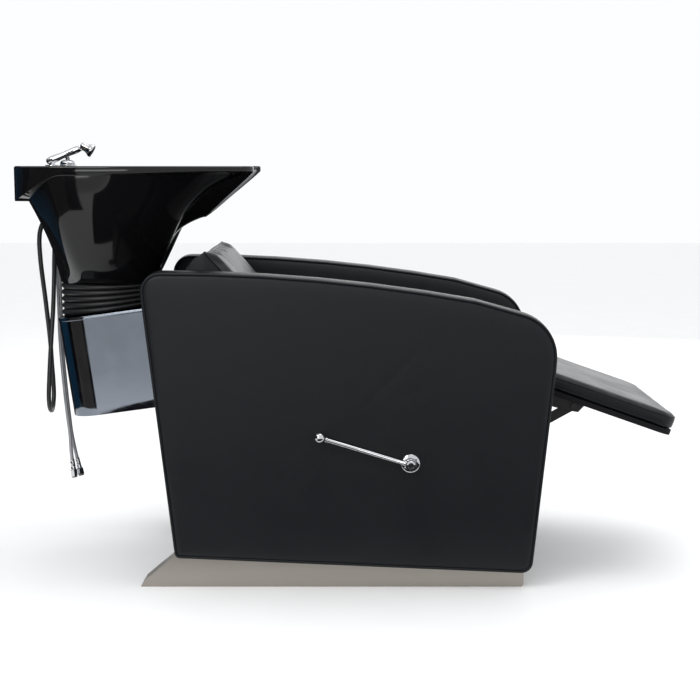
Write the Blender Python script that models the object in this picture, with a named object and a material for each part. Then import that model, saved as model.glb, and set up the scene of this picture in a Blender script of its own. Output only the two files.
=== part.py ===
"""Salon shampoo backwash unit: tilting basin, reclining seat and folding leg rest.

Metres, +Z up.  The origin is the centre of the floor plate's underside.  +X points from the basin
towards the leg rest, so the sitter faces +X and their right-hand side is -Y.
"""
from math import acos, atan2, cos, pi, radians, sin, tan

import bmesh
import bpy
from mathutils import Vector

# ---------------------------------------------------------------- driving dimensions
GAP = 0.0003                 # clearance between pieces that touch
HALF_WIDTH = 0.340           # outer face of each arm panel
ARM_THICK = 0.085
SIDE_IN = HALF_WIDTH - ARM_THICK

RAIL_SPAN = (0.265, 0.315)   # stainless floor rails, distances from the centre plane
SHEET = 0.003                # sheet they are folded from
FLOOR_TOP = 0.006

RAKE = radians(6.4)          # lean of the body's rear face
FRONT_RAKE = radians(6.7)    # lean of the body's front edge, and of the folded leg rest

SEAT_HALF = 0.250
SEAT_TOP = 0.495
RAIL_TOP = 0.385
RAIL_LOW = 0.345
RAIL_OUT = SIDE_IN - 0.0005
RAIL_IN = RAIL_OUT - 0.012

# layers of the mechanism, as distances from the centre plane
HINGE_LAYER = (0.2353, 0.2403)       # back hinge plates
HANGER_LAYER = (0.2365, 0.2420)      # leg rest hangers and shaft bearings
BRACKET_LAYER = (0.2305, 0.2355)     # leg rest brackets
ROD_LAYER = (0.2300, 0.2345)         # recline rod
LINK_LAYER = (0.2245, 0.2295)        # push links
YOKE_CRANK_LAYER = (0.2237, 0.2287)  # recline crank
CRANK_LAYER = (0.2180, 0.2235)       # leg rest cranks

BACK_PITCH = radians(48)             # back cushion above the horizontal
BACK_TOP = (-0.333, 0.775)           # top front corner of the back cushion
BACK_LENGTH = 0.440
BACK_THICK = 0.085
BACK_BOARD = 0.015
BACK_HALF = 0.235
BACK_PIVOT = (-0.132, 0.4176)
RECLINE = radians(18)

LEG_PIVOT = (0.385, 0.440)
LEG_SLOPE = radians(19.4)            # leg rest below the horizontal when raised
LEG_HALF = 0.250
LEG_START = 0.022                    # along the pad, from the pivot
LEG_END = 0.380
LEG_LOW = 0.0195                     # underside above the pivot, square to the pad
LEG_TOP = 0.067
LEG_BOARD = 0.012
LINK_BOLT = (0.135, 0.012)           # in the leg rest's own frame

SHAFT = (0.136, 0.293)               # cross shaft axis in X and Z
SHAFT_R = 0.008
CRANK_R = 0.130
CRANK_ANGLE = radians(-12.3)
CRANK_TRAVEL = radians(80.9)
YOKE_R = 0.045
LEVER_ANGLE = radians(163.1)
LEVER_LENGTH = 0.213
BORE_CLEAR = 0.0004                  # radial clearance of a running bore

SHROUD_TILT = radians(7.8)
SHROUD_CORNER = (-0.6245, 0.604)     # top of the shroud where its rear corner starts
SHROUD_RADIUS = 0.075
SHROUD_HALF = 0.150
SHROUD_DEEP = 0.237
SHROUD_SHEET = 0.0025

BOWL_RIM = 0.955
BOWL_FOOT = 0.676
BOWL_X = -0.588                      # centre of the foot and of the drain
NOTCH_DEPTH = 0.112
NOTCH_BACK = 0.128
NOTCH_HALF = 0.130
DRAIN_R = 0.026
TILT_PIVOT = (-0.545, 0.640)

GUIDE_XY = (-0.712, -0.045)
MIXER_XY = (-0.694, 0.050)
DECK_UNDER = 0.920
BLADE_RISE = radians(22)
HANDLE_RISE = radians(22)
HOSE_R = 0.0055
TAIL_R = 0.0045


# ---------------------------------------------------------------- scene and materials
for old in list(bpy.data.objects):
    bpy.data.objects.remove(old, do_unlink=True)

COLOURS = {
    "leather": ((0.030, 0.032, 0.036), 0.45, 0.0),
    "board": ((0.020, 0.020, 0.020), 0.80, 0.0),
    "steel_black": ((0.025, 0.025, 0.027), 0.45, 0.7),
    "chrome": ((0.80, 0.80, 0.82), 0.08, 1.0),
    "polished_steel": ((0.52, 0.55, 0.60), 0.12, 1.0),
    "brushed_steel": ((0.46, 0.43, 0.39), 0.35, 1.0),
    "ceramic": ((0.010, 0.010, 0.010), 0.06, 0.0),
    "rubber": ((0.020, 0.020, 0.020), 0.60, 0.0),
    "pad": ((0.25, 0.26, 0.27), 0.45, 0.0),
    "plastic": ((0.030, 0.030, 0.030), 0.35, 0.0),
    "braid": ((0.50, 0.50, 0.52), 0.40, 0.8),
}


def material(key):
    """Return the named material, made on first use."""
    found = bpy.data.materials.get(key)
    if found:
        return found
    colour, rough, metal = COLOURS[key]
    made = bpy.data.materials.new(key)
    made.use_nodes = True
    shader = made.node_tree.nodes["Principled BSDF"]
    shader.inputs["Base Color"].default_value = (*colour, 1.0)
    shader.inputs["Roughness"].default_value = rough
    shader.inputs["Metallic"].default_value = metal
    made.diffuse_color = (*colour, 1.0)
    return made


# ---------------------------------------------------------------- helpers
def place(name, mesh, key, pivot=None):
    """Link a mesh as a named object whose origin sits at pivot."""
    obj = bpy.data.objects.new(name, mesh)
    bpy.context.scene.collection.objects.link(obj)
    mesh.materials.append(material(key))
    if pivot is not None:
        for vertex in mesh.vertices:
            vertex.co -= Vector(pivot)
        obj.location = pivot
    return obj


def finish_mesh(bm, name, smooth=None):
    """Turn a bmesh into a mesh with its faces pointing out."""
    bmesh.ops.recalc_face_normals(bm, faces=bm.faces)
    mesh = bpy.data.meshes.new(name)
    bm.to_mesh(mesh)
    bm.free()
    if smooth is not None:
        mesh.shade_smooth()
        mesh.set_sharp_from_angle(angle=smooth)
    return mesh


def bevel(obj, width, segments=2, angle=radians(40)):
    """Round an object's sharp edges."""
    made = obj.modifiers.new("bevel", "BEVEL")
    made.width = width
    made.segments = segments
    made.limit_method = "ANGLE"
    made.angle_limit = angle
    return obj


def boolean(obj, other, operation="DIFFERENCE"):
    """Cut or join with a helper object that the build leaves out."""
    other.hide_render = True
    other.display_type = "WIRE"
    made = obj.modifiers.new(operation.lower(), "BOOLEAN")
    made.operation = operation
    made.object = other
    made.solver = "EXACT"
    return obj


def fillet(corners, radii, steps=5):
    """Outline of a polygon with each corner rounded to its own radius."""
    outline = []
    count = len(corners)
    for i, corner in enumerate(corners):
        here = Vector(corner)
        before = (Vector(corners[i - 1]) - here).normalized()
        after = (Vector(corners[(i + 1) % count]) - here).normalized()
        radius = radii[i]
        if radius <= 0:
            outline.append((here.x, here.y))
            continue
        half = acos(max(-1, min(1, before.dot(after)))) / 2
        reach = radius / tan(half)
        centre = here + (before + after).normalized() * (radius / sin(half))
        start = here + before * reach - centre
        end = here + after * reach - centre
        first = atan2(start.y, start.x)
        turn = atan2(end.y, end.x) - first
        turn = (turn + pi) % (2 * pi) - pi
        for k in range(steps + 1):
            angle = first + turn * k / steps
            outline.append((centre.x + radius * cos(angle), centre.y + radius * sin(angle)))
    return outline


def prism(name, outline, low, high, key, axis="Y", pivot=None, smooth=None):
    """Extrude an outline along Y (outline in X, Z), Z (in X, Y) or X (in Y, Z)."""
    def point(a, b, t):
        return {"Y": (a, t, b), "Z": (a, b, t), "X": (t, a, b)}[axis]
    bm = bmesh.new()
    bottom = [bm.verts.new(point(a, b, low)) for a, b in outline]
    top = [bm.verts.new(point(a, b, high)) for a, b in outline]
    bm.faces.new(bottom)
    bm.faces.new(top)
    for i in range(len(outline)):
        j = (i + 1) % len(outline)
        bm.faces.new((bottom[i], bottom[j], top[j], top[i]))
    return place(name, finish_mesh(bm, name, smooth), key, pivot)


def box(name, low, high, key):
    """Axis-aligned block."""
    outline = [(low[0], low[2]), (high[0], low[2]), (high[0], high[2]), (low[0], high[2])]
    return prism(name, outline, low[1], high[1], key)


def loft(name, rings, key, caps=True, closed_loop=False, pivot=None, smooth=radians(35)):
    """Skin a list of rings with equal point counts; closed_loop joins the last to the first."""
    bm = bmesh.new()
    loops = [[bm.verts.new(p) for p in ring] for ring in rings]
    pairs = list(zip(loops, loops[1:]))
    if closed_loop:
        pairs.append((loops[-1], loops[0]))
    for one, two in pairs:
        for i in range(len(one)):
            j = (i + 1) % len(one)
            bm.faces.new((one[i], one[j], two[j], two[i]))
    if caps and not closed_loop:
        bm.faces.new(loops[0])
        bm.faces.new(loops[-1])
    return place(name, finish_mesh(bm, name, smooth), key, pivot)


def turned(name, profile, start, direction, key, sides=24, pivot=None):
    """Round piece: profile of (radius, distance along direction from start)."""
    along = Vector(direction).normalized()
    side = along.orthogonal().normalized()
    other = along.cross(side)
    rings = []
    for radius, distance in profile:
        centre = Vector(start) + along * distance
        ring = []
        for k in range(sides):
            angle = 2 * pi * k / sides
            ring.append(centre + side * (radius * cos(angle)) + other * (radius * sin(angle)))
        rings.append(ring)
    return loft(name, rings, key, pivot=pivot)


def capsule(one, two, half_width, steps=6):
    """Outline of a bar with round ends between two points in X and Z."""
    angle = atan2(two[1] - one[1], two[0] - one[0])
    outline = []
    for centre, first in ((one, angle + pi / 2), (two, angle - pi / 2)):
        for k in range(steps + 1):
            a = first + pi * k / steps
            outline.append((centre[0] + half_width * cos(a), centre[1] + half_width * sin(a)))
    return outline


def bore(obj, centre, radius, sides=16):
    """Cut a round hole along Y through a plate."""
    outline = []
    for k in range(sides):
        a = 2 * pi * (k + 0.5) / sides
        outline.append((centre[0] + radius * cos(a), centre[1] + radius * sin(a)))
    return boolean(obj, prism(obj.name + "_bore_cutter", outline, -0.5, 0.5, "board"))


def drill(obj, radius, start, depth):
    """Cut a round hole upwards from a point."""
    cutter = turned(obj.name + "_drill_cutter", [(radius, 0), (radius, depth)], start, (0, 0, 1), "board", 20)
    return boolean(obj, cutter)


def layer(side, span):
    """A mechanism layer on one side: side is -1 for right, +1 for left."""
    return (side * span[0], side * span[1])


def stud(name, centre, radius, start, end, key, sides=14):
    """Round bar along Y."""
    return turned(name, [(radius, 0), (radius, abs(end - start))], (centre[0], start, centre[1]),
                  (0, end - start, 0), key, sides)


def smooth_route(points, spacing):
    """Evenly spaced points on a Catmull-Rom curve through the route's own points."""
    route = [Vector(p) for p in points]
    padded = [route[0] * 2 - route[1]] + route + [route[-1] * 2 - route[-2]]
    dense = []
    for a, b, c, d in zip(padded, padded[1:], padded[2:], padded[3:]):
        for k in range(12):
            t = k / 12
            dense.append(0.5 * (2 * b + (c - a) * t + (2 * a - 5 * b + 4 * c - d) * t * t
                                + (3 * b - a - 3 * c + d) * t ** 3))
    dense.append(route[-1])
    length = sum((q - p).length for p, q in zip(dense, dense[1:]))
    count = max(2, round(length / spacing))
    result = [dense[0]]
    walked = 0.0
    target = length / count
    for p, q in zip(dense, dense[1:]):
        step = (q - p).length
        while walked + step >= target - 1e-9 and len(result) < count:
            result.append(p.lerp(q, (target - walked) / step))
            target += length / count
        walked += step
    result.append(dense[-1])
    return result


def cord(name, points, radius, spacing, key):
    """Hose or tube as a bevelled curve with filled caps."""
    curve = bpy.data.curves.new(name, "CURVE")
    curve.dimensions = "3D"
    curve.bevel_depth = radius
    curve.bevel_resolution = 2
    curve.use_fill_caps = True
    places = smooth_route(points, spacing)
    spline = curve.splines.new("POLY")
    spline.points.add(len(places) - 1)
    for target, p in zip(spline.points, places):
        target.co = (p.x, p.y, p.z, 1.0)
    curve.materials.append(material(key))
    obj = bpy.data.objects.new(name, curve)
    bpy.context.scene.collection.objects.link(obj)
    return obj


# ---------------------------------------------------------------- floor rails and floor plate
PANEL_SLOPE = -0.0445        # the panels' lower edge falls towards the front


def panel_low(x):
    """Height of the arm panels' lower edge."""
    return 0.0545 + PANEL_SLOPE * x


def make_base():
    """Two stainless rails, open below and swept out behind, joined by a steel floor plate."""
    top_rear = (-0.402, panel_low(-0.402) - GAP)
    top_front = (0.397, panel_low(0.397) - GAP)
    outline = [(-0.479, 0.0), (0.392, 0.0), (0.397, 0.006), top_front, top_rear, (-0.470, 0.015)]
    inner = [(-0.474, -0.01), (0.389, -0.01), (0.394, 0.006), (0.394, top_front[1] - SHEET),
             (-0.401, top_rear[1] - SHEET), (-0.465, 0.015)]
    near, far = RAIL_SPAN
    for side, end in ((-1, "right"), (1, "left")):
        rail = prism("floor_rail_" + end, outline, side * near, side * far, "brushed_steel")
        boolean(rail, prism("rail_cutter", inner, side * (near + SHEET), side * (far - SHEET), "board"))
    box("floor_plate", (-0.385, GAP - near, 0.0), (0.302, near - GAP, FLOOR_TOP), "steel_black")


# ---------------------------------------------------------------- arm panels and end panels
def arm_top(x):
    """Height of the arm's gently falling top line."""
    return 0.722 - 0.126 * (x + 0.43) ** 2


def rear_line(z):
    """X of the arm's raked rear edge."""
    return -0.467 + (0.684 - z) * tan(RAKE)


def arm_outline():
    """Side view of an arm panel, counter-clockwise from the lower rear corner."""
    rear_low = (-0.3975, panel_low(-0.3975))
    front_low = (0.4135, panel_low(0.4135))
    top = [(x, arm_top(x)) for x in (0.28, 0.17, 0.05, -0.07, -0.19, -0.31)]
    corners = [rear_low, front_low, (0.4605, 0.500), (0.4675, 0.6060)] + top + [(-0.4713, 0.7222)]
    radii = [0.010, 0.024, 0.30, 0.100] + [0] * len(top) + [0.045]
    return fillet(corners, radii, 6)


def make_arms():
    """Padded side panels; the right one is bored for the lever shaft."""
    outline = arm_outline()
    for side, name in ((-1, "arm_panel_right"), (1, "arm_panel_left")):
        panel = prism(name, outline, side * SIDE_IN, side * HALF_WIDTH, "leather", smooth=radians(50))
        bevel(panel, 0.007, 2, radians(60))
        if side < 0:
            bore(panel, SHAFT, SHAFT_R + 0.002)


def make_end_panels():
    """Raked rear panel behind the shroud's mouth, and front panel behind the leg rest."""
    thick = 0.016
    recess = 0.008
    low, high = FLOOR_TOP + GAP, 0.665
    outline = [(rear_line(low) + recess, low), (rear_line(low) + recess + thick, low),
               (rear_line(high) + recess + thick, high), (rear_line(high) + recess, high)]
    half = SIDE_IN - GAP
    bevel(prism("rear_panel", outline, -half, half, "leather"), 0.003, 1)
    lean = tan(FRONT_RAKE)
    low, high = FLOOR_TOP + GAP, RAIL_TOP - 0.001
    face = 0.349
    thick = 0.012
    corners = ((low, 0), (high, 0), (high, thick), (low, thick))
    outline = [(face - (0.44 - z) * lean - off, z) for z, off in corners]
    prism("front_panel", outline, -0.2165, 0.2165, "leather")


# ---------------------------------------------------------------- seat frame, seat and back
def make_frame():
    """Flat-bar side frames with two legs each, and the cross rail behind the back."""
    for side, name in ((-1, "frame_side_right"), (1, "frame_side_left")):
        rear, front, leg, base = -0.364, 0.300, 0.035, FLOOR_TOP + GAP
        outline = [(rear, base), (rear + leg, base), (rear + leg, RAIL_LOW), (front - leg, RAIL_LOW),
                   (front - leg, base), (front, base), (front, RAIL_LOW), (0.395, RAIL_LOW),
                   (0.395, RAIL_TOP), (-0.395, RAIL_TOP), (-0.395, RAIL_LOW), (rear, RAIL_LOW)]
        prism(name, outline, *layer(side, (RAIL_IN, RAIL_OUT)), "steel_black")
    half = RAIL_IN - GAP
    box("cross_rail_rear", (-0.385, -half, RAIL_LOW), (-0.345, half, RAIL_TOP - 0.001), "steel_black")


def make_seat():
    """Seat board and cushion; the cushion is undercut in front to clear the leg rest pivots."""
    prism("seat_board", [(-0.010, RAIL_TOP + GAP), (0.335, RAIL_TOP + GAP), (0.335, 0.400), (-0.010, 0.400)],
          -SEAT_HALF, SEAT_HALF, "board")
    low = 0.400 + GAP
    outline = fillet([(-0.012, low), (0.338, low), (0.362, 0.458), (0.402, 0.458), (0.402, SEAT_TOP),
                      (-0.053, SEAT_TOP - 0.005)], [0, 0, 0, 0.009, 0.020, 0.020], 4)
    cushion = prism("seat_cushion", outline, -SEAT_HALF, SEAT_HALF, "leather", smooth=radians(50))
    bevel(cushion, 0.006, 2, radians(60))


def on_back(along, out):
    """Point on the reclined back: distance down its face and out from its face."""
    return (BACK_TOP[0] + along * cos(BACK_PITCH) + out * sin(BACK_PITCH),
            BACK_TOP[1] - along * sin(BACK_PITCH) + out * cos(BACK_PITCH))


RECLINE_PIN = (BACK_PIVOT[0] + 0.1867 * sin(RECLINE / 2), BACK_PIVOT[1] - 0.1867 * cos(RECLINE / 2))


def make_back():
    """Back cushion and board on hinge plates; the right plate runs down to the recline rod."""
    pivot = (BACK_PIVOT[0], 0, BACK_PIVOT[1])
    outline = fillet([on_back(0, 0), on_back(BACK_LENGTH, 0), on_back(BACK_LENGTH, -BACK_THICK),
                      on_back(0, -BACK_THICK)], [0.016, 0.020, 0, 0.030], 5)
    cushion = prism("back_cushion", outline, -BACK_HALF, BACK_HALF, "leather", pivot=pivot,
                    smooth=radians(50))
    bevel(cushion, 0.006, 2, radians(60))
    under = -BACK_THICK - GAP
    outline = [on_back(0.025, under), on_back(BACK_LENGTH - 0.004, under),
               on_back(BACK_LENGTH - 0.004, under - BACK_BOARD), on_back(0.025, under - BACK_BOARD)]
    prism("back_board", outline, -BACK_HALF, BACK_HALF, "board", pivot=pivot)

    plate = [on_back(0.330, -0.045), on_back(0.425, -0.045), on_back(0.425, -0.112), on_back(0.330, -0.112)]
    long_plate = [plate[0], plate[1], (BACK_PIVOT[0] + 0.032, BACK_PIVOT[1] - 0.035),
                  (RECLINE_PIN[0] + 0.011, RECLINE_PIN[1] - 0.011),
                  (RECLINE_PIN[0] - 0.011, RECLINE_PIN[1] - 0.011),
                  (BACK_PIVOT[0] - 0.014, BACK_PIVOT[1] - 0.012), plate[3]]
    for side, name, corners in ((-1, "back_hinge_right", long_plate), (1, "back_hinge_left", plate)):
        hinge = prism(name, corners, *layer(side, HINGE_LAYER), "steel_black", pivot=pivot)
        bore(hinge, BACK_PIVOT, 0.006 + BORE_CLEAR)
        if side < 0:
            pin = stud("recline_stud_helper", RECLINE_PIN, 0.005, -HINGE_LAYER[0] - 0.002, -0.2285,
                       "steel_black", 12)
            boolean(hinge, pin, "UNION")
        holder = prism("back_pivot_" + name[11:], [(BACK_PIVOT[0] - 0.03, RAIL_TOP + 0.001),
                       (BACK_PIVOT[0] + 0.03, RAIL_TOP + 0.001), (BACK_PIVOT[0] + 0.03, 0.4325),
                       (BACK_PIVOT[0] - 0.03, 0.4325)], *layer(side, (0.2470, RAIL_OUT)), "steel_black")
        pin = stud("back_stud_helper", BACK_PIVOT, 0.006, side * 0.2475, side * 0.2355, "steel_black")
        boolean(holder, pin, "UNION")


# ---------------------------------------------------------------- leg rest, lever and linkage
def on_leg(along, up):
    """Point on the raised leg rest: distance from the pivot along the pad, and up square to it."""
    return (LEG_PIVOT[0] + along * cos(LEG_SLOPE) + up * sin(LEG_SLOPE),
            LEG_PIVOT[1] - along * sin(LEG_SLOPE) + up * cos(LEG_SLOPE))


CRANK_PIN = (SHAFT[0] + CRANK_R * cos(CRANK_ANGLE), SHAFT[1] + CRANK_R * sin(CRANK_ANGLE))
BOLT = on_leg(*LINK_BOLT)
YOKE_PIN = (SHAFT[0] + YOKE_R * sin(CRANK_TRAVEL / 2), SHAFT[1] - YOKE_R * cos(CRANK_TRAVEL / 2))


def make_leg_rest():
    """Padded leg rest on a board, with two brackets that turn on the hangers' studs."""
    pivot = (LEG_PIVOT[0], 0, LEG_PIVOT[1])
    plan = fillet([(LEG_START, -LEG_HALF), (LEG_END, -LEG_HALF), (LEG_END, LEG_HALF), (LEG_START, LEG_HALF)],
                  [0, 0.040, 0.040, 0], 6)
    rings = []
    for up in (LEG_LOW + LEG_BOARD + GAP, LEG_TOP):
        rings.append([(on_leg(along, up)[0], y, on_leg(along, up)[1]) for along, y in plan])
    bevel(loft("leg_cushion", rings, "leather", pivot=pivot, smooth=radians(50)), 0.008, 3, radians(60))
    half = RAIL_IN - 0.0007
    plan = fillet([(LEG_START + 0.004, -half), (LEG_END - 0.005, -half), (LEG_END - 0.005, half),
                   (LEG_START + 0.004, half)], [0, 0.037, 0.037, 0], 6)
    rings = []
    for up in (LEG_LOW, LEG_LOW + LEG_BOARD):
        rings.append([(on_leg(along, up)[0], y, on_leg(along, up)[1]) for along, y in plan])
    board = loft("leg_board", rings, "board", pivot=pivot)
    reach = 0.0130
    slot = [on_leg(LINK_BOLT[0] + along, up)
            for along, up in ((-reach, 0), (reach, 0), (reach, 0.05), (-reach, 0.05))]
    for side in (-1, 1):
        span = layer(side, (LINK_LAYER[0] - 0.002, BRACKET_LAYER[0]))
        boolean(board, prism("slot_cutter", slot, *span, "board"))

    for side, end in ((-1, "right"), (1, "left")):
        top = LEG_LOW - GAP
        nose = [on_leg(0.013 * cos(radians(d)), 0.013 * sin(radians(d))) for d in (130, 165, 200, 235, 270)]
        outline = nose + [on_leg(0.120, -0.004), on_leg(0.150, 0.001), on_leg(0.158, top), on_leg(0.010, top)]
        bracket = prism("leg_bracket_" + end, outline, *layer(side, BRACKET_LAYER), "steel_black",
                        pivot=pivot)
        bore(bracket, LEG_PIVOT, 0.006 + BORE_CLEAR)
        pin = stud("bolt_helper", BOLT, 0.005, side * 0.2315, side * 0.2238, "steel_black", 12)
        head = stud("bolt_head_helper", BOLT, 0.0075, side * 0.2350, side * 0.2395, "steel_black", 6)
        boolean(boolean(bracket, pin, "UNION"), head, "UNION")

        outline = [(0.345, 0.350), (0.394, 0.350), (0.399, 0.432)]
        outline += [(LEG_PIVOT[0] + 0.014 * cos(a), LEG_PIVOT[1] + 0.014 * sin(a))
                    for a in (radians(d) for d in (0, 45, 90, 135, 180))]
        outline += [(0.366, 0.395), (0.345, 0.384)]
        hanger = prism("leg_hanger_" + end, outline, *layer(side, HANGER_LAYER), "steel_black")
        pin = stud("hanger_helper", LEG_PIVOT, 0.006, side * 0.2375, side * 0.2292, "steel_black")
        boolean(hanger, pin, "UNION")


def make_linkage():
    """Cross shaft in two bearing plates, with the cranks, push links and recline yoke rod."""
    axis = (SHAFT[0], 0, SHAFT[1])
    stud("cross_shaft", SHAFT, SHAFT_R, -0.3478, 0.2430, "chrome", 18)
    hub = 0.016
    for side, end in ((-1, "right"), (1, "left")):
        outline = [(SHAFT[0] + x, z) for x, z in ((-0.03, 0.384), (-hub, 0.276), (hub, 0.276), (0.03, 0.384))]
        bore(prism("shaft_bearing_" + end, outline, *layer(side, HANGER_LAYER), "steel_black"),
             SHAFT, SHAFT_R + BORE_CLEAR)
        crank = prism("crank_" + end, capsule(SHAFT, CRANK_PIN, 0.013), *layer(side, CRANK_LAYER),
                      "steel_black", pivot=axis)
        bore(crank, SHAFT, SHAFT_R + GAP)
        pin = stud("crank_helper", CRANK_PIN, 0.005, side * 0.2225, side * 0.2297, "steel_black", 12)
        boolean(crank, pin, "UNION")
        link = prism("push_link_" + end, capsule(CRANK_PIN, BOLT, 0.011), *layer(side, LINK_LAYER),
                     "steel_black", pivot=(CRANK_PIN[0], 0, CRANK_PIN[1]))
        bore(link, CRANK_PIN, 0.005 + BORE_CLEAR)
        bore(link, BOLT, 0.005 + 0.0021)

    small = prism("recline_crank", capsule(SHAFT, YOKE_PIN, 0.0125), *layer(-1, YOKE_CRANK_LAYER),
                  "steel_black", pivot=axis)
    bore(small, SHAFT, SHAFT_R + GAP)
    boolean(small, stud("yoke_helper", YOKE_PIN, 0.005, -0.2280, -0.2350, "steel_black", 12), "UNION")

    mid = SHAFT[1] - YOKE_R * (1 + cos(CRANK_TRAVEL / 2)) / 2
    head = 0.0225
    outline = [(RECLINE_PIN[0], RECLINE_PIN[1] + 0.011), (RECLINE_PIN[0] - 0.011, RECLINE_PIN[1]),
               (RECLINE_PIN[0], RECLINE_PIN[1] - 0.011), (YOKE_PIN[0] - 0.013, mid - head),
               (YOKE_PIN[0] + 0.013, mid - head), (YOKE_PIN[0] + 0.013, mid + head),
               (YOKE_PIN[0] - 0.013, mid + head), (YOKE_PIN[0] - 0.013, mid)]
    rod = prism("recline_rod", outline, *layer(-1, ROD_LAYER), "steel_black",
                pivot=(RECLINE_PIN[0], 0, RECLINE_PIN[1]))
    bore(rod, RECLINE_PIN, 0.005 + BORE_CLEAR)
    slot = capsule((YOKE_PIN[0], mid - 0.0075), (YOKE_PIN[0], mid + 0.0075), 0.0062)
    boolean(rod, prism("yoke_slot_cutter", slot, -0.5, 0.5, "board"))


def make_lever():
    """Escutcheon on the arm, and the hub, rod and ball knob on the shaft's end."""
    y = -HALF_WIDTH - GAP
    flange = [(0.0215, 0), (0.0215, 0.002), (0.0175, 0.005)]
    plate = turned("lever_escutcheon", flange, (SHAFT[0], y, SHAFT[1]), (0, -1, 0), "chrome", 28)
    boolean(plate, stud("escutcheon_cutter", SHAFT, SHAFT_R + 0.001, -0.33, -0.36, "board", 18))
    boss = [(0.0125, 0), (0.0125, 0.016), (0.0105, 0.019)]
    turned("lever_hub", boss, (SHAFT[0], y - 0.0080, SHAFT[1]), (0, -1, 0), "chrome", 24,
           pivot=(SHAFT[0], 0, SHAFT[1]))
    along = Vector((cos(LEVER_ANGLE), 0, sin(LEVER_ANGLE)))
    start = Vector((SHAFT[0], y - 0.0175, SHAFT[1])) + along * 0.0130
    turned("lever_rod", [(0.0050, 0), (0.0050, LEVER_LENGTH - 0.0255)], start, along, "chrome", 12,
           pivot=(SHAFT[0], 0, SHAFT[1]))
    centre = Vector((SHAFT[0], y - 0.0175, SHAFT[1])) + along * LEVER_LENGTH
    radius = 0.0125
    latitudes = [radians(d) for d in (24, 45, 67, 90, 113, 135, 156, 174)]
    profile = [(radius * sin(a), -radius * cos(a)) for a in latitudes]
    turned("lever_ball", profile, centre, along, "chrome", 16, pivot=(SHAFT[0], 0, SHAFT[1]))


# ---------------------------------------------------------------- shroud, column and bellows
def on_shroud(back, up, y):
    """Point in the shroud's frame: back from its corner line and up from its top edge."""
    return (SHROUD_CORNER[0] - back * cos(SHROUD_TILT) - up * sin(SHROUD_TILT), y,
            SHROUD_CORNER[1] - back * sin(SHROUD_TILT) + up * cos(SHROUD_TILT))


def shroud_mouth(up):
    """How far forward the shroud reaches at a height, up to the rear panel's face."""
    low, high = -0.30, 0.05
    for _ in range(40):
        middle = (low + high) / 2
        x, _, z = on_shroud(middle, up, 0)
        if x > rear_line(z) + 0.008 - 0.0006:
            low = middle
        else:
            high = middle
    return high


def plan_outline(inset, mouth, steps=6):
    """Half-round-cornered plan of the shroud, from the right mouth round the back to the left."""
    radius = SHROUD_RADIUS - inset
    half = SHROUD_HALF - inset
    outline = [(mouth, -half)]
    for sign in (-1, 1):
        for k in range(steps + 1):
            a = pi / 2 * k / steps if sign < 0 else pi / 2 * (1 - k / steps)
            outline.append((radius * sin(a), sign * (half - radius + radius * cos(a))))
    outline.append((mouth, half))
    return outline


def make_shroud():
    """Polished wrap with a lid and a floor let into it."""
    rings = []
    for up in (-SHROUD_DEEP, 0.0):
        mouth = shroud_mouth(up)
        outer = [on_shroud(p, up, y) for p, y in plan_outline(0, mouth)]
        inner = [on_shroud(p, up, y) for p, y in plan_outline(SHROUD_SHEET, mouth)]
        rings.append(outer + inner[::-1])
    loft("shroud_wrap", rings, "polished_steel")
    plates = {"shroud_lid": (-0.0035, -0.0010), "shroud_floor": (-SHROUD_DEEP + 0.001, -SHROUD_DEEP + 0.0035)}
    for name, levels in plates.items():
        rings = [[on_shroud(p, up, y) for p, y in plan_outline(SHROUD_SHEET + GAP, shroud_mouth(up) + 0.0005)]
                 for up in levels]
        plate = loft(name, rings, "polished_steel")
        if name == "shroud_lid":
            hole = [(BOWL_X + 0.088 * cos(2 * pi * k / 24), 0.080 * sin(2 * pi * k / 24)) for k in range(24)]
            boolean(plate, prism("lid_cutter", hole, 0.55, 0.70, "board", axis="Z"))
        else:
            hole = [(BOWL_X + 0.030 * cos(2 * pi * k / 16), 0.030 * sin(2 * pi * k / 16)) for k in range(16)]
            boolean(plate, prism("floor_cutter", hole, 0.30, 0.45, "board", axis="Z"))


def make_column():
    """Column with a forked arm on top, and the basin carrier that tilts on the fork's pin."""
    def forward(z):
        return rear_line(z) + 0.007
    low, arm_low, arm_top_z = 0.402, 0.565, 0.590
    px, pz = TILT_PIVOT
    outline = [(forward(low), low), (forward(arm_top_z), arm_top_z), (px - 0.014, arm_top_z),
               (px - 0.014, arm_low), (forward(arm_low) - 0.060, arm_low - 0.020),
               (forward(low) - 0.060, low)]
    column = prism("basin_column", outline, -0.050, 0.050, "steel_black")
    for side in (-1, 1):
        ear = [(px - 0.014, arm_low + 0.005), (px + 0.014, arm_low + 0.005), (px + 0.014, pz + 0.006),
               (px + 0.007, pz + 0.013), (px - 0.007, pz + 0.013), (px - 0.014, pz + 0.006)]
        boolean(column, prism("ear_helper", ear, side * 0.042, side * 0.050, "board"), "UNION")
    bore(column, TILT_PIVOT, 0.006 + GAP)
    stud("tilt_pin", TILT_PIVOT, 0.006, -0.053, 0.053, "chrome", 14)
    top, pin_low = BOWL_FOOT - GAP, pz - 0.012
    cheeks = [(-0.0415, top), (0.0415, top), (0.0415, pin_low), (0.0335, pin_low), (0.0335, top - 0.006),
              (-0.0335, top - 0.006), (-0.0335, pin_low), (-0.0415, pin_low)]
    carrier = prism("basin_carrier", cheeks, px - 0.012, px + 0.040, "steel_black", axis="X",
                    pivot=(px, 0, pz))
    bore(carrier, TILT_PIVOT, 0.006 + BORE_CLEAR)


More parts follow.
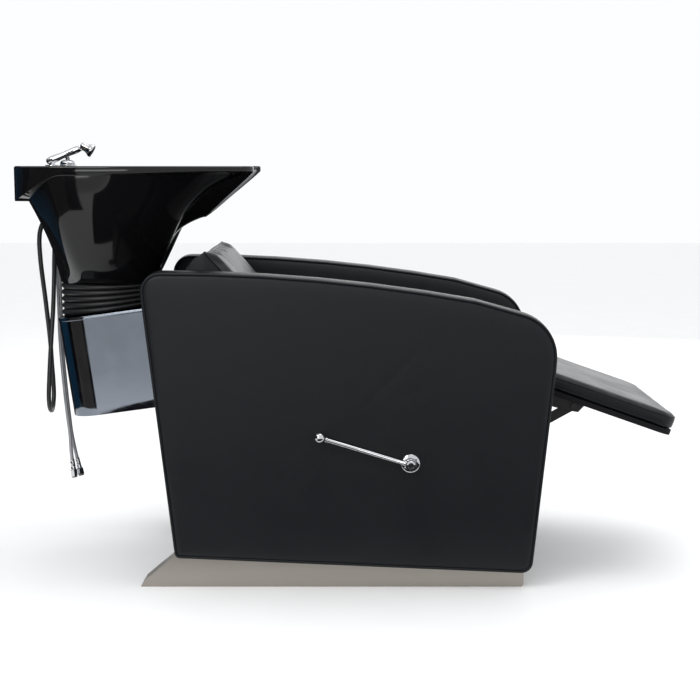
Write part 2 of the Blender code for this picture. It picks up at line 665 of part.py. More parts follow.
def make_bellows():
    """Ribbed rubber boot between the shroud's lid and the basin's foot."""
    sides = 36
    folds = 5

    def ring(level, swell):
        points = []
        for k in range(sides):
            a = 2 * pi * k / sides
            x = BOWL_X + (0.107 + swell) * cos(a)
            y = (0.101 + swell) * sin(a)
            floor = SHROUD_CORNER[1] + (x - SHROUD_CORNER[0]) * tan(SHROUD_TILT) + 0.0005
            points.append((x, y, floor + (BOWL_FOOT - GAP - floor) * level))
        return points

    rings = []
    for k in range(2 * folds + 1):
        rings.append(ring(k / (2 * folds), 0.010 if k % 2 else 0.002))
    rings += [ring(level, -0.004) for level in (1.0, 0.75, 0.5, 0.25, 0.0)]
    loft("bellows_boot", rings, "rubber", closed_loop=True, smooth=None)


# ---------------------------------------------------------------- basin
RIM = ((-0.222, 0.0), (-0.222, 0.070), (-0.230, 0.148), (-0.300, 0.196), (-0.420, 0.232), (-0.550, 0.247),
       (-0.680, 0.237), (-0.762, 0.190), (-0.785, 0.110), (-0.785, 0.0))
RIM_INNER = ((-0.239, 0.0), (-0.239, 0.062), (-0.247, 0.132), (-0.312, 0.178), (-0.424, 0.214),
             (-0.525, 0.228), (-0.600, 0.216), (-0.642, 0.165), (-0.655, 0.090), (-0.655, 0.0))
FOOT_SIZE = (0.1175, 0.108)
FLOOR_SIZE = (0.085, 0.100)
FLOOR_X = -0.560
FLOOR_LEVEL = 0.706


def closed_curve(half, count):
    """Sample the mirrored control points as a closed Catmull-Rom curve with count stations."""
    loop = [Vector((x, y)) for x, y in half]
    loop += [Vector((x, -y)) for x, y in half[-2:0:-1]]
    size = len(loop)
    points = []
    for k in range(count):
        place_on = k * size / count
        i = int(place_on)
        t = place_on - i
        a, b, c, d = (loop[(i + j) % size] for j in (-1, 0, 1, 2))
        points.append(0.5 * (2 * b + (c - a) * t + (2 * a - 5 * b + 4 * c - d) * t * t
                             + (3 * b - a - 3 * c + d) * t ** 3))
    return points


def notch_weight(y):
    """One at the middle of the neck notch, falling to nothing at its horns."""
    if abs(y) >= NOTCH_HALF:
        return 0.0
    return cos(pi * y / (2 * NOTCH_HALF)) ** 1.15


def ease(t):
    """Smooth step from 0 to 1."""
    t = max(0.0, min(1.0, t))
    return t * t * (3 - 2 * t)


def basin_rings(count):
    """Outer rings from rim to foot, then inner rings from the drain back up to the rim."""
    outer = closed_curve(RIM, count)
    inner = closed_curve(RIM_INNER, count)
    middle = Vector((BOWL_X, 0))
    stations = []
    for p, q in zip(outer, inner):
        angle = atan2(p.y, p.x - BOWL_X)
        front = max(0.0, cos(angle)) ** 1.5 if p.x > BOWL_X else 0.0
        rear = ease((-cos(angle) - 0.25) / 0.55)
        side = max(0.0, 1 - front - rear)
        lower = notch_weight(p.y) if p.x > -0.4 else 0.0
        inner_lower = notch_weight(q.y) if q.x > -0.4 else 0.0
        rim = Vector((p.x - NOTCH_BACK * lower, p.y, BOWL_RIM - NOTCH_DEPTH * lower))
        lip = Vector((q.x - NOTCH_BACK * inner_lower, q.y, BOWL_RIM - NOTCH_DEPTH * inner_lower))
        foot = middle + Vector((FOOT_SIZE[0] * cos(angle), FOOT_SIZE[1] * sin(angle)))
        floor_angle = atan2(q.y, q.x - FLOOR_X)
        base = Vector((FLOOR_X + FLOOR_SIZE[0] * cos(floor_angle), FLOOR_SIZE[1] * sin(floor_angle)))
        stations.append((rim, lip, foot, base, front, rear, side, angle))

    def outside(station, s):
        rim, _, foot, _, front, rear, side, _ = station
        swoop = 0.40 * s + 0.60 * s ** 6
        belly = sin(pi / 2 * s) ** 0.8 if s > 0 else 0.0
        back = 0.50 * s ** 0.8 + 0.50 * s ** 1.6
        share = (front * swoop + rear * back + side * belly) / (front + rear + side)
        top = rim.z - band_of(station)
        flat = foot.lerp(under(station), share)
        return (flat.x, flat.y, BOWL_FOOT + (top - BOWL_FOOT) * s)

    def band_of(station):
        return 0.022 - 0.010 * station[4] + 0.060 * station[5]

    def under(station):
        rim, front, rear = station[0], station[4], station[5]
        flat = Vector((rim.x, rim.y))
        return flat + (middle - flat).normalized() * (0.002 + 0.006 * front + 0.034 * rear)

    def grow(station, inset, drop):
        rim = station[0]
        inward = (Vector((rim.x, rim.y)) - middle).normalized() * inset
        return (rim.x - inward.x, rim.y - inward.y, rim.z - drop)

    def inside(station, s):
        _, lip, _, base, front, rear, side, _ = station
        swoop = s ** 2.8
        belly = sin(pi / 2 * s) ** 0.8 if s > 0 else 0.0
        back = s ** 0.7
        share = (front * swoop + rear * back + side * belly) / (front + rear + side)
        flat = base.lerp(Vector((lip.x, lip.y)), share)
        return (flat.x, flat.y, FLOOR_LEVEL + (lip.z - FLOOR_LEVEL) * s)

    rings = [[grow(st, 0.004, 0.0) for st in stations],
             [grow(st, 0.0, 0.004) for st in stations],
             [grow(st, 0.0, band_of(st) - 0.004) for st in stations]]
    for s in (1.0, 0.93, 0.82, 0.68, 0.54, 0.40, 0.26, 0.13, 0.04, 0.0):
        rings.append([outside(st, s) for st in stations])
    for radius, level in ((DRAIN_R, BOWL_FOOT), (DRAIN_R, 0.700)):
        rings.append([(BOWL_X + radius * cos(st[7]), radius * sin(st[7]), level) for st in stations])
    for s in (0.0, 0.10, 0.24, 0.40, 0.58, 0.76, 0.92):
        rings.append([inside(st, s) for st in stations])
    rings.append([(st[1].x, st[1].y, st[1].z - 0.002) for st in stations])
    return rings


def make_basin():
    """Glazed basin with a neck notch, a rear tap ledge and an access pocket behind."""
    pivot = (TILT_PIVOT[0], 0, TILT_PIVOT[1])
    basin = loft("basin", basin_rings(64), "ceramic", closed_loop=True, pivot=pivot, smooth=radians(45))
    for (x, y), radius in ((GUIDE_XY, 0.0125), (MIXER_XY, 0.0170)):
        drill(basin, radius, (x, y, 0.90), 0.08)
    pocket = [(-0.770, DECK_UNDER), (-0.674, DECK_UNDER), (-0.674, 0.7385), (-0.830, 0.7385), (-0.830, 0.860),
              (-0.770, 0.860)]
    boolean(basin, prism("pocket_cutter", pocket, -0.0772, 0.0772, "board"))

    lip = sorted((p for p in closed_curve(RIM, 200) if p.x > -0.3 and abs(p.y) < 0.119), key=lambda p: p.y)
    line = []
    for p in lip[::2]:
        lower = notch_weight(p.y)
        line.append(Vector((p.x - NOTCH_BACK * lower, p.y, BOWL_RIM - NOTCH_DEPTH * lower)))
    rings = []
    for k, p in enumerate(line):
        before = line[max(0, k - 1)]
        after = line[min(len(line) - 1, k + 1)]
        along = (after - before).normalized()
        out = Vector((0.72, 0, 0.69))
        out = (out - along * out.dot(along)).normalized()
        across = along.cross(out)
        reach = 0.0060 if 0 < k < len(line) - 1 else 0.0035
        centre = p + out * 0.0090
        ring = []
        for j in range(10):
            a = 2 * pi * j / 10
            ring.append(centre + out * (reach * cos(a)) + across * (reach * 1.3 * sin(a)))
        rings.append(ring)
    loft("neck_rest", rings, "pad", pivot=pivot, smooth=radians(60))


def make_drain():
    """Drain body with its tail, the strainer on top, and the waste pipe in the shroud."""
    pivot = (TILT_PIVOT[0], 0, TILT_PIVOT[1])
    profile = [(0.0245, 0), (0.0245, -0.040), (0.0190, -0.044), (0.0190, -0.095)]
    body = turned("drain_body", profile, (BOWL_X, 0, 0.7000), (0, 0, 1), "chrome", 20, pivot=pivot)
    drill(body, 0.0165, (BOWL_X, 0, 0.55), 0.2)
    strainer = [(0.0230, 0), (0.0230, 0.0020), (0.0120, 0.0045)]
    turned("drain_strainer", strainer, (BOWL_X, 0, 0.7003), (0, 0, 1), "chrome", 20, pivot=pivot)
    low = 0.374
    outside = [(0.0240, 0), (0.0240, 0.205), (0.0255, 0.207), (0.0255, 0.220)]
    pipe = turned("waste_pipe", outside, (BOWL_X, 0, low), (0, 0, 1), "plastic", 20)
    drill(pipe, 0.0215, (BOWL_X, 0, 0.30), 0.4)


# ---------------------------------------------------------------- taps and hoses
def make_taps():
    """Mixer with a turning cap and a lifting blade, and the hand shower in its guide."""
    mx, my = MIXER_XY
    pivot = (TILT_PIVOT[0], 0, TILT_PIVOT[1])
    deck = BOWL_RIM + GAP
    shank = [(0.0155, -0.0550), (0.0155, 0.0), (0.0230, 0.0), (0.0230, 0.0025)]
    turned("mixer_body", shank, (mx, my, deck), (0, 0, 1), "chrome", 24, pivot=pivot)
    cap = [(0.0185, 0), (0.0185, 0.0055), (0.0150, 0.0095), (0.0095, 0.0120)]
    ball = deck + 0.0165
    cup = turned("mixer_cap", cap, (mx, my, deck + 0.0028), (0, 0, 1), "chrome", 24, pivot=(mx, my, deck))
    ball_profile = [(sin(a), -cos(a)) for a in (radians(d) for d in (15, 40, 65, 90))]
    dish = [(r * 0.0060, h * 0.0060) for r, h in ball_profile] + [(0.0080, 0.0080)]
    boolean(cup, turned("cup_cutter", dish, (mx, my, ball), (0, 0, 1), "board", 16))
    rise = Vector((cos(BLADE_RISE), sin(BLADE_RISE)))
    blade = []
    for along, up in ((-0.031, 0.0095), (-0.007, 0.0050), (0.046, 0.0050), (0.049, 0.0075), (0.046, 0.0120),
                      (-0.027, 0.0130), (-0.031, 0.0115)):
        blade.append((mx + along * rise.x - up * rise.y, ball + along * rise.y + up * rise.x))
    lever = prism("mixer_lever", blade, my - 0.010, my + 0.010, "chrome", pivot=(mx, my, ball))
    neck = [(r * 0.0055, h * 0.0055) for r, h in ball_profile] + [(0.0055, 0.0070)]
    boolean(lever, turned("neck_helper", neck, (mx, my, ball), (0, 0, 1), "chrome", 16), "UNION")

    gx, gy = GUIDE_XY
    guide = [(0.0115, -0.0600), (0.0115, 0.0), (0.0170, 0.0), (0.0170, 0.0024)]
    ring = turned("shower_guide", guide, (gx, gy, deck), (0, 0, 1), "chrome", 24, pivot=pivot)
    drill(ring, 0.0088, (gx, gy, 0.88), 0.1)
    shank = turned("shower_handle", [(0.0080, -0.0530), (0.0080, 0.0100)], (gx, gy, deck), (0, 0, 1),
                   "chrome", 16, pivot=(gx, gy, deck))
    slope = Vector((cos(HANDLE_RISE), 0, sin(HANDLE_RISE)))
    low = Vector((gx, gy, deck + 0.0145))
    handle = [(0.0045, -0.014), (0.0080, -0.008), (0.0090, 0.004), (0.0070, 0.030), (0.0082, 0.055),
              (0.0078, 0.068), (0.0060, 0.0730)]
    boolean(shank, turned("grip_helper", handle, low, slope, "chrome", 16), "UNION")
    down = Vector((0.885, 0, -0.466))
    head = [(0.0045, -0.0084), (0.0080, -0.0051), (0.0095, 0.0), (0.0105, 0.008), (0.0160, 0.017),
            (0.0160, 0.023)]
    turned("shower_head", head, low + slope * 0.0830, down, "chrome", 20, pivot=(gx, gy, deck))


SHOWER_ROUTE = (
    (-0.712, -0.045, 0.9018), (-0.7123, -0.045, 0.885), (-0.7144, -0.045, 0.8663), (-0.7205, -0.045, 0.8486),
    (-0.7303, -0.045, 0.8325), (-0.7401, -0.045, 0.8164), (-0.7462, -0.045, 0.7987), (-0.7483, -0.045, 0.780),
    (-0.7485, -0.045, 0.760), (-0.7465, -0.044, 0.720), (-0.7445, -0.036, 0.680), (-0.7440, -0.020, 0.640),
    (-0.7440, -0.004, 0.600), (-0.7440, 0.013, 0.558), (-0.7445, 0.030, 0.510), (-0.7450, 0.041, 0.465),
    (-0.7448, 0.0475, 0.4350), (-0.7445, 0.0510, 0.4055), (-0.7436, 0.0471, 0.3860),
    (-0.7426, 0.0361, 0.3694), (-0.7411, 0.0195, 0.3584), (-0.7395, 0.0, 0.3545),
    (-0.7382, -0.0195, 0.3584), (-0.7371, -0.0361, 0.3694), (-0.7358, -0.0471, 0.3860),
    (-0.7348, -0.0510, 0.4055), (-0.7338, -0.0475, 0.4350), (-0.7325, -0.042, 0.470),
    (-0.7310, -0.030, 0.520), (-0.7303, -0.012, 0.570), (-0.7303, 0.003, 0.604), (-0.7310, 0.020, 0.648),
    (-0.7318, 0.034, 0.690), (-0.7318, 0.042, 0.735), (-0.7290, 0.046, 0.785), (-0.7200, 0.049, 0.835),
    (-0.7065, 0.050, 0.870), (-0.7027, 0.050, 0.886), (-0.7020, 0.050, 0.8988))


def tail_route(shift):
    """Centre line of one supply tail, from the mixer down behind the shroud."""
    return [(-0.6875, 0.050 + shift * 0.85, 0.8998), (-0.688, 0.050 + shift * 0.87, 0.880),
            (-0.695, 0.052 + shift, 0.840), (-0.708, 0.055 + shift * 1.2, 0.800),
            (-0.7195, 0.058 + shift * 1.4, 0.755),
            (-0.7245, 0.060 + shift * 1.4, 0.705), (-0.7255, 0.060 + shift * 1.3, 0.650),
            (-0.7245, 0.058 + shift * 1.2, 0.590), (-0.7240, 0.055 + shift, 0.538),
            (-0.7210, 0.053 + shift, 0.478), (-0.7175, 0.052 + shift, 0.430), (-0.7135, 0.051 + shift, 0.380),
            (-0.7085, 0.050 + shift, 0.328), (-0.7040, 0.050 + shift, 0.285),
            (-0.6995 + shift * 0.30, 0.050 + shift, 0.243), (-0.6940 + shift * 0.50, 0.050 + shift, 0.208)]


def make_hoses():
    """Shower hose in a hanging loop, and two braided supply tails ending in union nuts."""
    cord("shower_hose", SHOWER_ROUTE, HOSE_R, 0.028, "rubber")
    for shift, name in ((-0.010, "cold"), (0.010, "hot")):
        route = tail_route(shift)
        cord(name + "_supply_tail", route, TAIL_R, 0.024, "braid")
        end = Vector(route[-1])
        along = (end - Vector(route[-2])).normalized()
        nut = [(0.0058, 0.0), (0.0066, 0.004), (0.0066, 0.012), (0.0085, 0.013), (0.0085, 0.030),
               (0.0070, 0.032)]
        turned(name + "_supply_nut", nut, end + along * GAP, along, "chrome", 12)


make_base()
make_arms()
make_end_panels()
make_frame()
make_seat()
make_back()
make_leg_rest()
make_linkage()
make_lever()
make_shroud()
make_column()
make_bellows()
make_basin()
make_drain()
make_taps()
make_hoses()
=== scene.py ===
"""Looks of the salon shampoo backwash unit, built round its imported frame.  Metres, +Z up."""
from collections import namedtuple
from math import acos, atan2, cos, exp, pi, radians, sin, tan

import bmesh
import bpy
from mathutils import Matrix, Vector, noise
from mathutils.bvhtree import BVHTree


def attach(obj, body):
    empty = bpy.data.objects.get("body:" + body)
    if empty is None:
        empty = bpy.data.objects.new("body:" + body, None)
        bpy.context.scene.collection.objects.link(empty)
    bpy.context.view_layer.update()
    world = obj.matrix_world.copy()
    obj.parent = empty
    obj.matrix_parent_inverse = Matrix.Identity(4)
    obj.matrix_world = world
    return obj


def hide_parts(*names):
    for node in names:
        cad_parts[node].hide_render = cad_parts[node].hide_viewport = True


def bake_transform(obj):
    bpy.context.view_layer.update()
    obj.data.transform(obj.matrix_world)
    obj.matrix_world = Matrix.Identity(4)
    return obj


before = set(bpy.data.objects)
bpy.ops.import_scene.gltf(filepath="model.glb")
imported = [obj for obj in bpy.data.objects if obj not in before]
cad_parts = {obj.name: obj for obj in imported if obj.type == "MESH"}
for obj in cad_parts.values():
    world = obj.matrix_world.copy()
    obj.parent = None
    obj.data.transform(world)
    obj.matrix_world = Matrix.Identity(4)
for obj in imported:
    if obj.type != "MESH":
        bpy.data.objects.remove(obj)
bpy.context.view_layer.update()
scene = bpy.context.scene

# ---- sizes shared with the CAD part
GAP = 0.0003
HALF_WIDTH = 0.340
SIDE_IN = 0.255
RAKE = radians(6.4)
FRONT_RAKE = radians(6.7)
BACK_PITCH = radians(48)
BACK_TOP = (-0.333, 0.775)
BACK_LENGTH = 0.440
BACK_THICK = 0.085
BACK_HALF = 0.235
SEAT_HALF = 0.250
LEG_PIVOT = (0.385, 0.440)
LEG_SLOPE = radians(19.4)
LEG_HALF = 0.250
LEG_START = 0.022
LEG_END = 0.380
LEG_LOW = 0.0318
LEG_TOP = 0.067
SHAFT = (0.136, 0.293)
LEVER_ANGLE = radians(163.1)
LEVER_LENGTH = 0.213
SHROUD_TILT = radians(7.8)
SHROUD_CORNER = (-0.6245, 0.604)
SHROUD_RADIUS = 0.075
SHROUD_HALF = 0.150
SHROUD_DEEP = 0.237
BOWL_RIM = 0.955
BOWL_FOOT = 0.676
BOWL_X = -0.588
BOOT_SIZE = (0.107, 0.101)
NOTCH_DEPTH = 0.112
NOTCH_BACK = 0.128
NOTCH_HALF = 0.130
DRAIN_R = 0.026
GUIDE_XY = (-0.712, -0.045)
MIXER_XY = (-0.694, 0.050)
DECK_UNDER = 0.920
BLADE_RISE = radians(22)
HANDLE_RISE = radians(22)
HOSE_R = 0.0055
TAIL_R = 0.0045
PIPING_R = 0.0033
KNOB_R = 0.0125
SHAFT_BORE_R = 0.0102
OUTWARD = (0, -1, 0)          # away from the right arm
UP = (0, 0, 1)

# ---- staging
CAMERA_PLACE = (0, -3.40, 0.955)
CAMERA_DIP = 7.54             # degrees below level
CAMERA_LENS = 71.49           # millimetres, on a 36 mm sensor
FLAG_CENTRE = Vector((-0.66, -0.12))
FLAG_REACH = 1.3
FLAG_HIGH = 1.7


# ---- camera, floor and lights
def make_studio():
    """Camera at the fitted place, a pale floor, a white surround and four soft boxes."""
    camera = link("camera", bpy.data.cameras.new("camera"))
    camera.location = CAMERA_PLACE
    camera.rotation_euler = (radians(90 - CAMERA_DIP), 0, 0)
    camera.data.lens = CAMERA_LENS
    camera.data.sensor_width = 36
    scene.camera = camera

    bm = bmesh.new()
    bmesh.ops.create_grid(bm, x_segments=4, y_segments=4, size=14)
    mesh = bpy.data.meshes.new("floor")
    bm.to_mesh(mesh)
    bm.free()
    link("floor", mesh)
    mesh.materials.append(surface("floor_paint", (0.93, 0.93, 0.93), 0.6, mottle=0.01, bump=0.02, scale=40))

    world = bpy.data.worlds.new("studio")
    world.use_nodes = True
    scene.world = world
    background = world.node_tree.nodes["Background"]
    background.inputs["Color"].default_value = (0.98, 0.99, 1.0, 1.0)
    background.inputs["Strength"].default_value = 1.0
    scene.view_settings.view_transform = "Standard"
    for name, place, aim, size, power in (
            ("key_box", (-1.5, -1.9, 2.5), (-0.55, 0, 0.8), (1.5, 0.7), 26),
            ("top_box", (0.3, 0.2, 3.0), (0.1, 0, 0.5), (2.4, 1.6), 30),
            ("rear_box", (1.6, 4.2, 1.1), (0.4, 0, 0.45), (4.0, 1.6), 20),
            ("front_box", (-1.35, -3.0, 1.00), (-0.6, 0, 0.92), (1.9, 0.42), 11)):
        light = link(name, bpy.data.lights.new(name, "AREA"))
        light.data.shape = "RECTANGLE"
        light.data.size, light.data.size_y = size
        light.data.energy = power
        light.location = place
        light.rotation_euler = (Vector(aim) - Vector(place)).to_track_quat("-Z", "Y").to_euler()
        light.visible_camera = False

    make_flags()


def make_flags():
    """Dark cards that only reflections see: round the shroud's rear corner, and on the floor in front."""
    corners = {}
    for name, first, last, tone in (
            ("flag_edge", 15, 24, (0.010, 0.010, 0.012)), ("flag_brown", 24, 70, (0.100, 0.085, 0.072)),
            ("flag_line", 70, 86, (0.005, 0.005, 0.006)), ("flag_navy", 86, 128, (0.010, 0.045, 0.085)),
            ("flag_rear", 128, 168, (0.006, 0.006, 0.007))):
        one, two = (FLAG_CENTRE + Vector((-sin(radians(d)), -cos(radians(d)))) * FLAG_REACH
                    for d in (first, last))
        corners[name] = (tone, [(*one, 0), (*two, 0), (*two, FLAG_HIGH), (*one, FLAG_HIGH)])
    corners["flag_floor"] = ((0.010, 0.010, 0.011), [(-0.72, -2.6, 0.002), (1.2, -2.6, 0.002),
                                                     (1.2, -0.55, 0.002), (-0.72, -0.55, 0.002)])
    for name, (tone, spots) in corners.items():
        mesh = bpy.data.meshes.new(name)
        mesh.from_pydata(spots, [], [(0, 1, 2, 3)])
        flag = link(name, mesh)
        mesh.materials.append(surface(name + "_cloth", tone, 0.9, mottle=0.3, mottle_scale=2, specular=0.1))
        flag.visible_camera = False
        flag.visible_shadow = False
        flag.visible_diffuse = False


# ---- materials
def surface(name, colour, rough, metal=0.0, kind="noise", scale=300.0, bump=0.1, depth=0.0004, mottle=0.08,
            mottle_scale=6.0, wear=0.0, specular=0.5, coat=0.0, stretch=(1, 1, 1), coords="Object"):
    """Procedural finish: a fine relief of the given kind, mottled colour and mottled roughness."""
    made = bpy.data.materials.new(name)
    made.use_nodes = True
    tree = made.node_tree
    wire = tree.links.new
    shader = tree.nodes["Principled BSDF"]
    for socket, value in (("Metallic", metal), ("Specular IOR Level", specular), ("Coat Weight", coat),
                          ("Coat Roughness", 0.04)):
        shader.inputs[socket].default_value = value

    def node(node_type, values=None, **settings):
        new = tree.nodes.new("ShaderNode" + node_type)
        for key, value in settings.items():
            setattr(new, key, value)
        for socket, value in (values or {}).items():
            new.inputs[socket].default_value = value
        return new

    place = node("TexCoord").outputs[coords]
    mapping = node("Mapping", {"Scale": stretch})
    wire(place, mapping.inputs["Vector"])
    spots = mapping.outputs["Vector"]
    broad = node("TexNoise", {"Scale": mottle_scale, "Detail": 5.0})
    wire(spots, broad.inputs["Vector"])

    gloss = node("MapRange", {"From Min": 0.3, "From Max": 0.7, "To Min": max(0.02, rough - mottle),
                              "To Max": rough + mottle})
    wire(broad.outputs["Fac"], gloss.inputs["Value"])
    wire(gloss.outputs["Result"], shader.inputs["Roughness"])

    mix = node("Mix", {"A": (*[c * (1 - 2 * mottle) for c in colour], 1),
                       "B": (*[min(1, c * (1 + 2 * mottle)) for c in colour], 1)}, data_type="RGBA")
    wire(broad.outputs["Fac"], mix.inputs["Factor"])
    tint = mix.outputs["Result"]
    if wear:
        worn = node("MapRange", {"From Min": 0.52, "From Max": 0.62, "To Max": wear})
        wire(node("NewGeometry").outputs["Pointiness"], worn.inputs["Value"])
        rubbed = node("Mix", {"B": (*[min(1, c * 2.5 + 0.04) for c in colour], 1)}, data_type="RGBA")
        wire(worn.outputs["Result"], rubbed.inputs["Factor"])
        wire(tint, rubbed.inputs["A"])
        tint = rubbed.outputs["Result"]
    wire(tint, shader.inputs["Base Color"])

    if kind == "leather":
        cells = node("TexVoronoi", {"Scale": scale}, feature="DISTANCE_TO_EDGE")
        warp = node("TexNoise", {"Scale": scale * 0.35})
        wire(spots, warp.inputs["Vector"])
        bend = node("Mix", {"Factor": 0.004}, data_type="VECTOR")
        wire(spots, bend.inputs["A"])
        wire(warp.outputs["Color"], bend.inputs["B"])
        wire(bend.outputs["Result"], cells.inputs["Vector"])
        creases = node("MapRange", {"From Max": 0.12})
        wire(cells.outputs["Distance"], creases.inputs["Value"])
        height = creases.outputs["Result"]
    elif kind == "braid":
        crossed = node("Math", operation="MULTIPLY")
        for number, angle in enumerate((radians(-45), radians(45))):
            turn = node("Mapping", {"Rotation": (0, 0, angle)})
            wire(place, turn.inputs["Vector"])
            wave = node("TexWave", {"Scale": scale})
            wire(turn.outputs["Vector"], wave.inputs["Vector"])
            wire(wave.outputs["Fac"], crossed.inputs[number])
        height = crossed.outputs["Value"]
    else:
        fine = node("TexNoise", {"Scale": scale, "Detail": 3.0})
        wire(spots, fine.inputs["Vector"])
        height = fine.outputs["Fac"]
    relief = node("Bump", {"Strength": bump, "Distance": depth})
    wire(height, relief.inputs["Height"])
    wire(relief.outputs["Normal"], shader.inputs["Normal"])
    return made


FINISH = {
    "leather": surface("leatherette", (0.0052, 0.0062, 0.0082), 0.38, kind="leather", scale=620, bump=0.30,
                       depth=0.0003, mottle=0.05, mottle_scale=9, specular=0.22),
    "board": surface("backing_cloth", (0.006, 0.006, 0.007), 0.85, scale=900, bump=0.5, depth=0.0003,
                     stretch=(1, 1, 0.4), specular=0.2),
    "steel_black": surface("powder_coat", (0.006, 0.006, 0.007), 0.42, scale=1400, bump=0.35, depth=0.0002,
                           mottle=0.05, wear=0.15, specular=0.3),
    "chrome": surface("chrome_plate", (0.56, 0.57, 0.59), 0.07, 1.0, scale=60, bump=0.02, depth=0.0002,
                      mottle=0.03, mottle_scale=30),
    # Mirror stainless: its dark grey-blue base colour is a painted reflection tint that stands in for the
    # surroundings the polished wrap reflects; the mottle adds smudges
    "polished_steel": surface("mirror_stainless_painted_reflection_tint", (0.185, 0.205, 0.235), 0.09, 1.0, scale=16, bump=0.10,
                              depth=0.0015, mottle=0.06, mottle_scale=24),
    "brushed_steel": surface("satin_stainless", (0.34, 0.315, 0.285), 0.34, 1.0, scale=220, bump=0.25,
                             depth=0.0002, mottle=0.05, mottle_scale=25, stretch=(0.05, 1, 1)),
    "ceramic": surface("black_glaze", (0.0030, 0.0030, 0.0034), 0.08, scale=22, bump=0.03, depth=0.0010,
                       mottle=0.02, mottle_scale=4, specular=0.28, coat=0.10),
    "rubber": surface("black_rubber", (0.012, 0.012, 0.0125), 0.42, scale=700, bump=0.3, depth=0.0002,
                      mottle=0.08, mottle_scale=20, specular=0.42),
    "pad": surface("grey_pad", (0.16, 0.165, 0.17), 0.45, scale=800, bump=0.3, depth=0.0002, mottle=0.05),
    "plastic": surface("black_plastic", (0.02, 0.02, 0.021), 0.38, scale=900, bump=0.25, depth=0.0002),
    "braid": surface("steel_braid", (0.40, 0.40, 0.42), 0.36, 0.9, kind="braid", scale=90, bump=0.9,
                     depth=0.0006, mottle=0.06, mottle_scale=60, coords="UV"),
}
SPRAY_FACE = surface("spray_face", (0.02, 0.02, 0.022), 0.5, scale=900, bump=0.2)


def dress(obj, body, key, *nodes, finish=None):
    """Give a piece its finish, hide the CAD nodes that it stands for and let it ride on a body."""
    obj.data.materials.clear()
    obj.data.materials.append(finish or FINISH[key])
    if nodes:
        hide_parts(*nodes)
    if body:
        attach(obj, body)
    return obj


# ---- mesh helpers
def link(name, data):
    """New object in the scene for a mesh, a lamp or a camera."""
    obj = bpy.data.objects.new(name, data)
    scene.collection.objects.link(obj)
    return obj


def shade(mesh, angle):
    """Smooth shading up to an angle."""
    mesh.shade_smooth()
    mesh.set_sharp_from_angle(angle=angle)


def finish_mesh(bm, name, smooth=radians(40), outward=True):
    """Turn a bmesh into a smoothly shaded object, with its faces turned outward unless told not to."""
    if outward:
        bmesh.ops.recalc_face_normals(bm, faces=bm.faces)
    mesh = bpy.data.meshes.new(name)
    bm.to_mesh(mesh)
    bm.free()
    shade(mesh, smooth)
    return link(name, mesh)


def loft(name, rings, caps=True, closed=False, smooth=radians(40)):
    """Skin a list of rings with equal point counts; a ring of one point closes an end."""
    bm = bmesh.new()
    loops = [[bm.verts.new(p) for p in ring] for ring in rings]
    pairs = list(zip(loops, loops[1:]))
    if closed:
        pairs.append((loops[-1], loops[0]))
    for one, two in pairs:
        count = max(len(one), len(two))
        for i in range(count):
            j = (i + 1) % count
            if len(one) == 1:
                bm.faces.new((one[0], two[j], two[i]))
            elif len(two) == 1:
                bm.faces.new((one[i], one[j], two[0]))
            else:
                bm.faces.new((one[i], one[j], two[j], two[i]))
    if caps and not closed:
        for loop in (loops[0], loops[-1]):
            if len(loop) > 2:
                bm.faces.new(loop)
    return finish_mesh(bm, name, smooth)


def round_ring(centre, side, other, count, wide, tall=None):
    """Points round a centre: a circle, or an ellipse if a second radius is given."""
    tall = wide if tall is None else tall
    angles = [2 * pi * k / count for k in range(count)]
    return [centre + side * (wide * cos(a)) + other * (tall * sin(a)) for a in angles]


def turned(name, profile, start, direction, sides=64, smooth=radians(40), closed=False):
    """Round piece: profile of (radius, distance along direction from start)."""
    along = Vector(direction).normalized()
    side = along.orthogonal().normalized()
    other = along.cross(side)
    rings = []
    for radius, distance in profile:
        centre = Vector(start) + along * distance
        rings.append(round_ring(centre, side, other, sides, radius) if radius else [centre])
    return loft(name, rings, closed=closed, smooth=smooth)


def tube(name, path, radius, sides=12, closed=False):
    """Tube along a path, with a UV map in metres: round it and along it."""
    points = [Vector(p) for p in path]
    count = len(points)
    tangents = []
    for i in range(count):
        before = points[i - 1] if closed or i else points[0]
        after = points[(i + 1) % count] if closed or i < count - 1 else points[-1]
        tangents.append((after - before).normalized())
    side = tangents[0].orthogonal().normalized()
    bm = bmesh.new()
    uv = bm.loops.layers.uv.new("UVMap")
    rings = []
    lengths = [0.0]
    for i, (point, tangent) in enumerate(zip(points, tangents)):
        side = (side - tangent * side.dot(tangent)).normalized()
        ring = round_ring(point, side, tangent.cross(side), sides, radius)
        rings.append([bm.verts.new(p) for p in ring])
        if i:
            lengths.append(lengths[-1] + (point - points[i - 1]).length)
    for i in range(count if closed else count - 1):
        one, two = rings[i], rings[(i + 1) % count]
        for k in range(sides):
            j = (k + 1) % sides
            face = bm.faces.new((one[k], one[j], two[j], two[k]))
            high = lengths[i + 1] if i + 1 < count else lengths[i] + 0.01
            corners = ((k, lengths[i]), (k + 1, lengths[i]), (k + 1, high), (k, high))
            for corner, (around, along) in zip(face.loops, corners):
                corner[uv].uv = (around * 2 * pi * radius / sides, along)
    if not closed:
        bm.faces.new(rings[0][::-1])
        bm.faces.new(rings[-1])
    return finish_mesh(bm, name)


def apply_modifiers(obj):
    """Replace an object's mesh by what its modifiers make of it."""
    bpy.context.view_layer.update()
    result = bpy.data.meshes.new_from_object(obj.evaluated_get(bpy.context.evaluated_depsgraph_get()))
    obj.modifiers.clear()
    obj.data = result
    return obj


def cut(obj, *others):
    """Cut helper objects out of an object."""
    for other in others:
        made = obj.modifiers.new("cut", "BOOLEAN")
        made.operation = "DIFFERENCE"
        made.object = other
        made.solver = "EXACT"
    apply_modifiers(obj)
    for other in others:
        bpy.data.objects.remove(other, do_unlink=True)
    shade(obj.data, radians(38))
    return obj


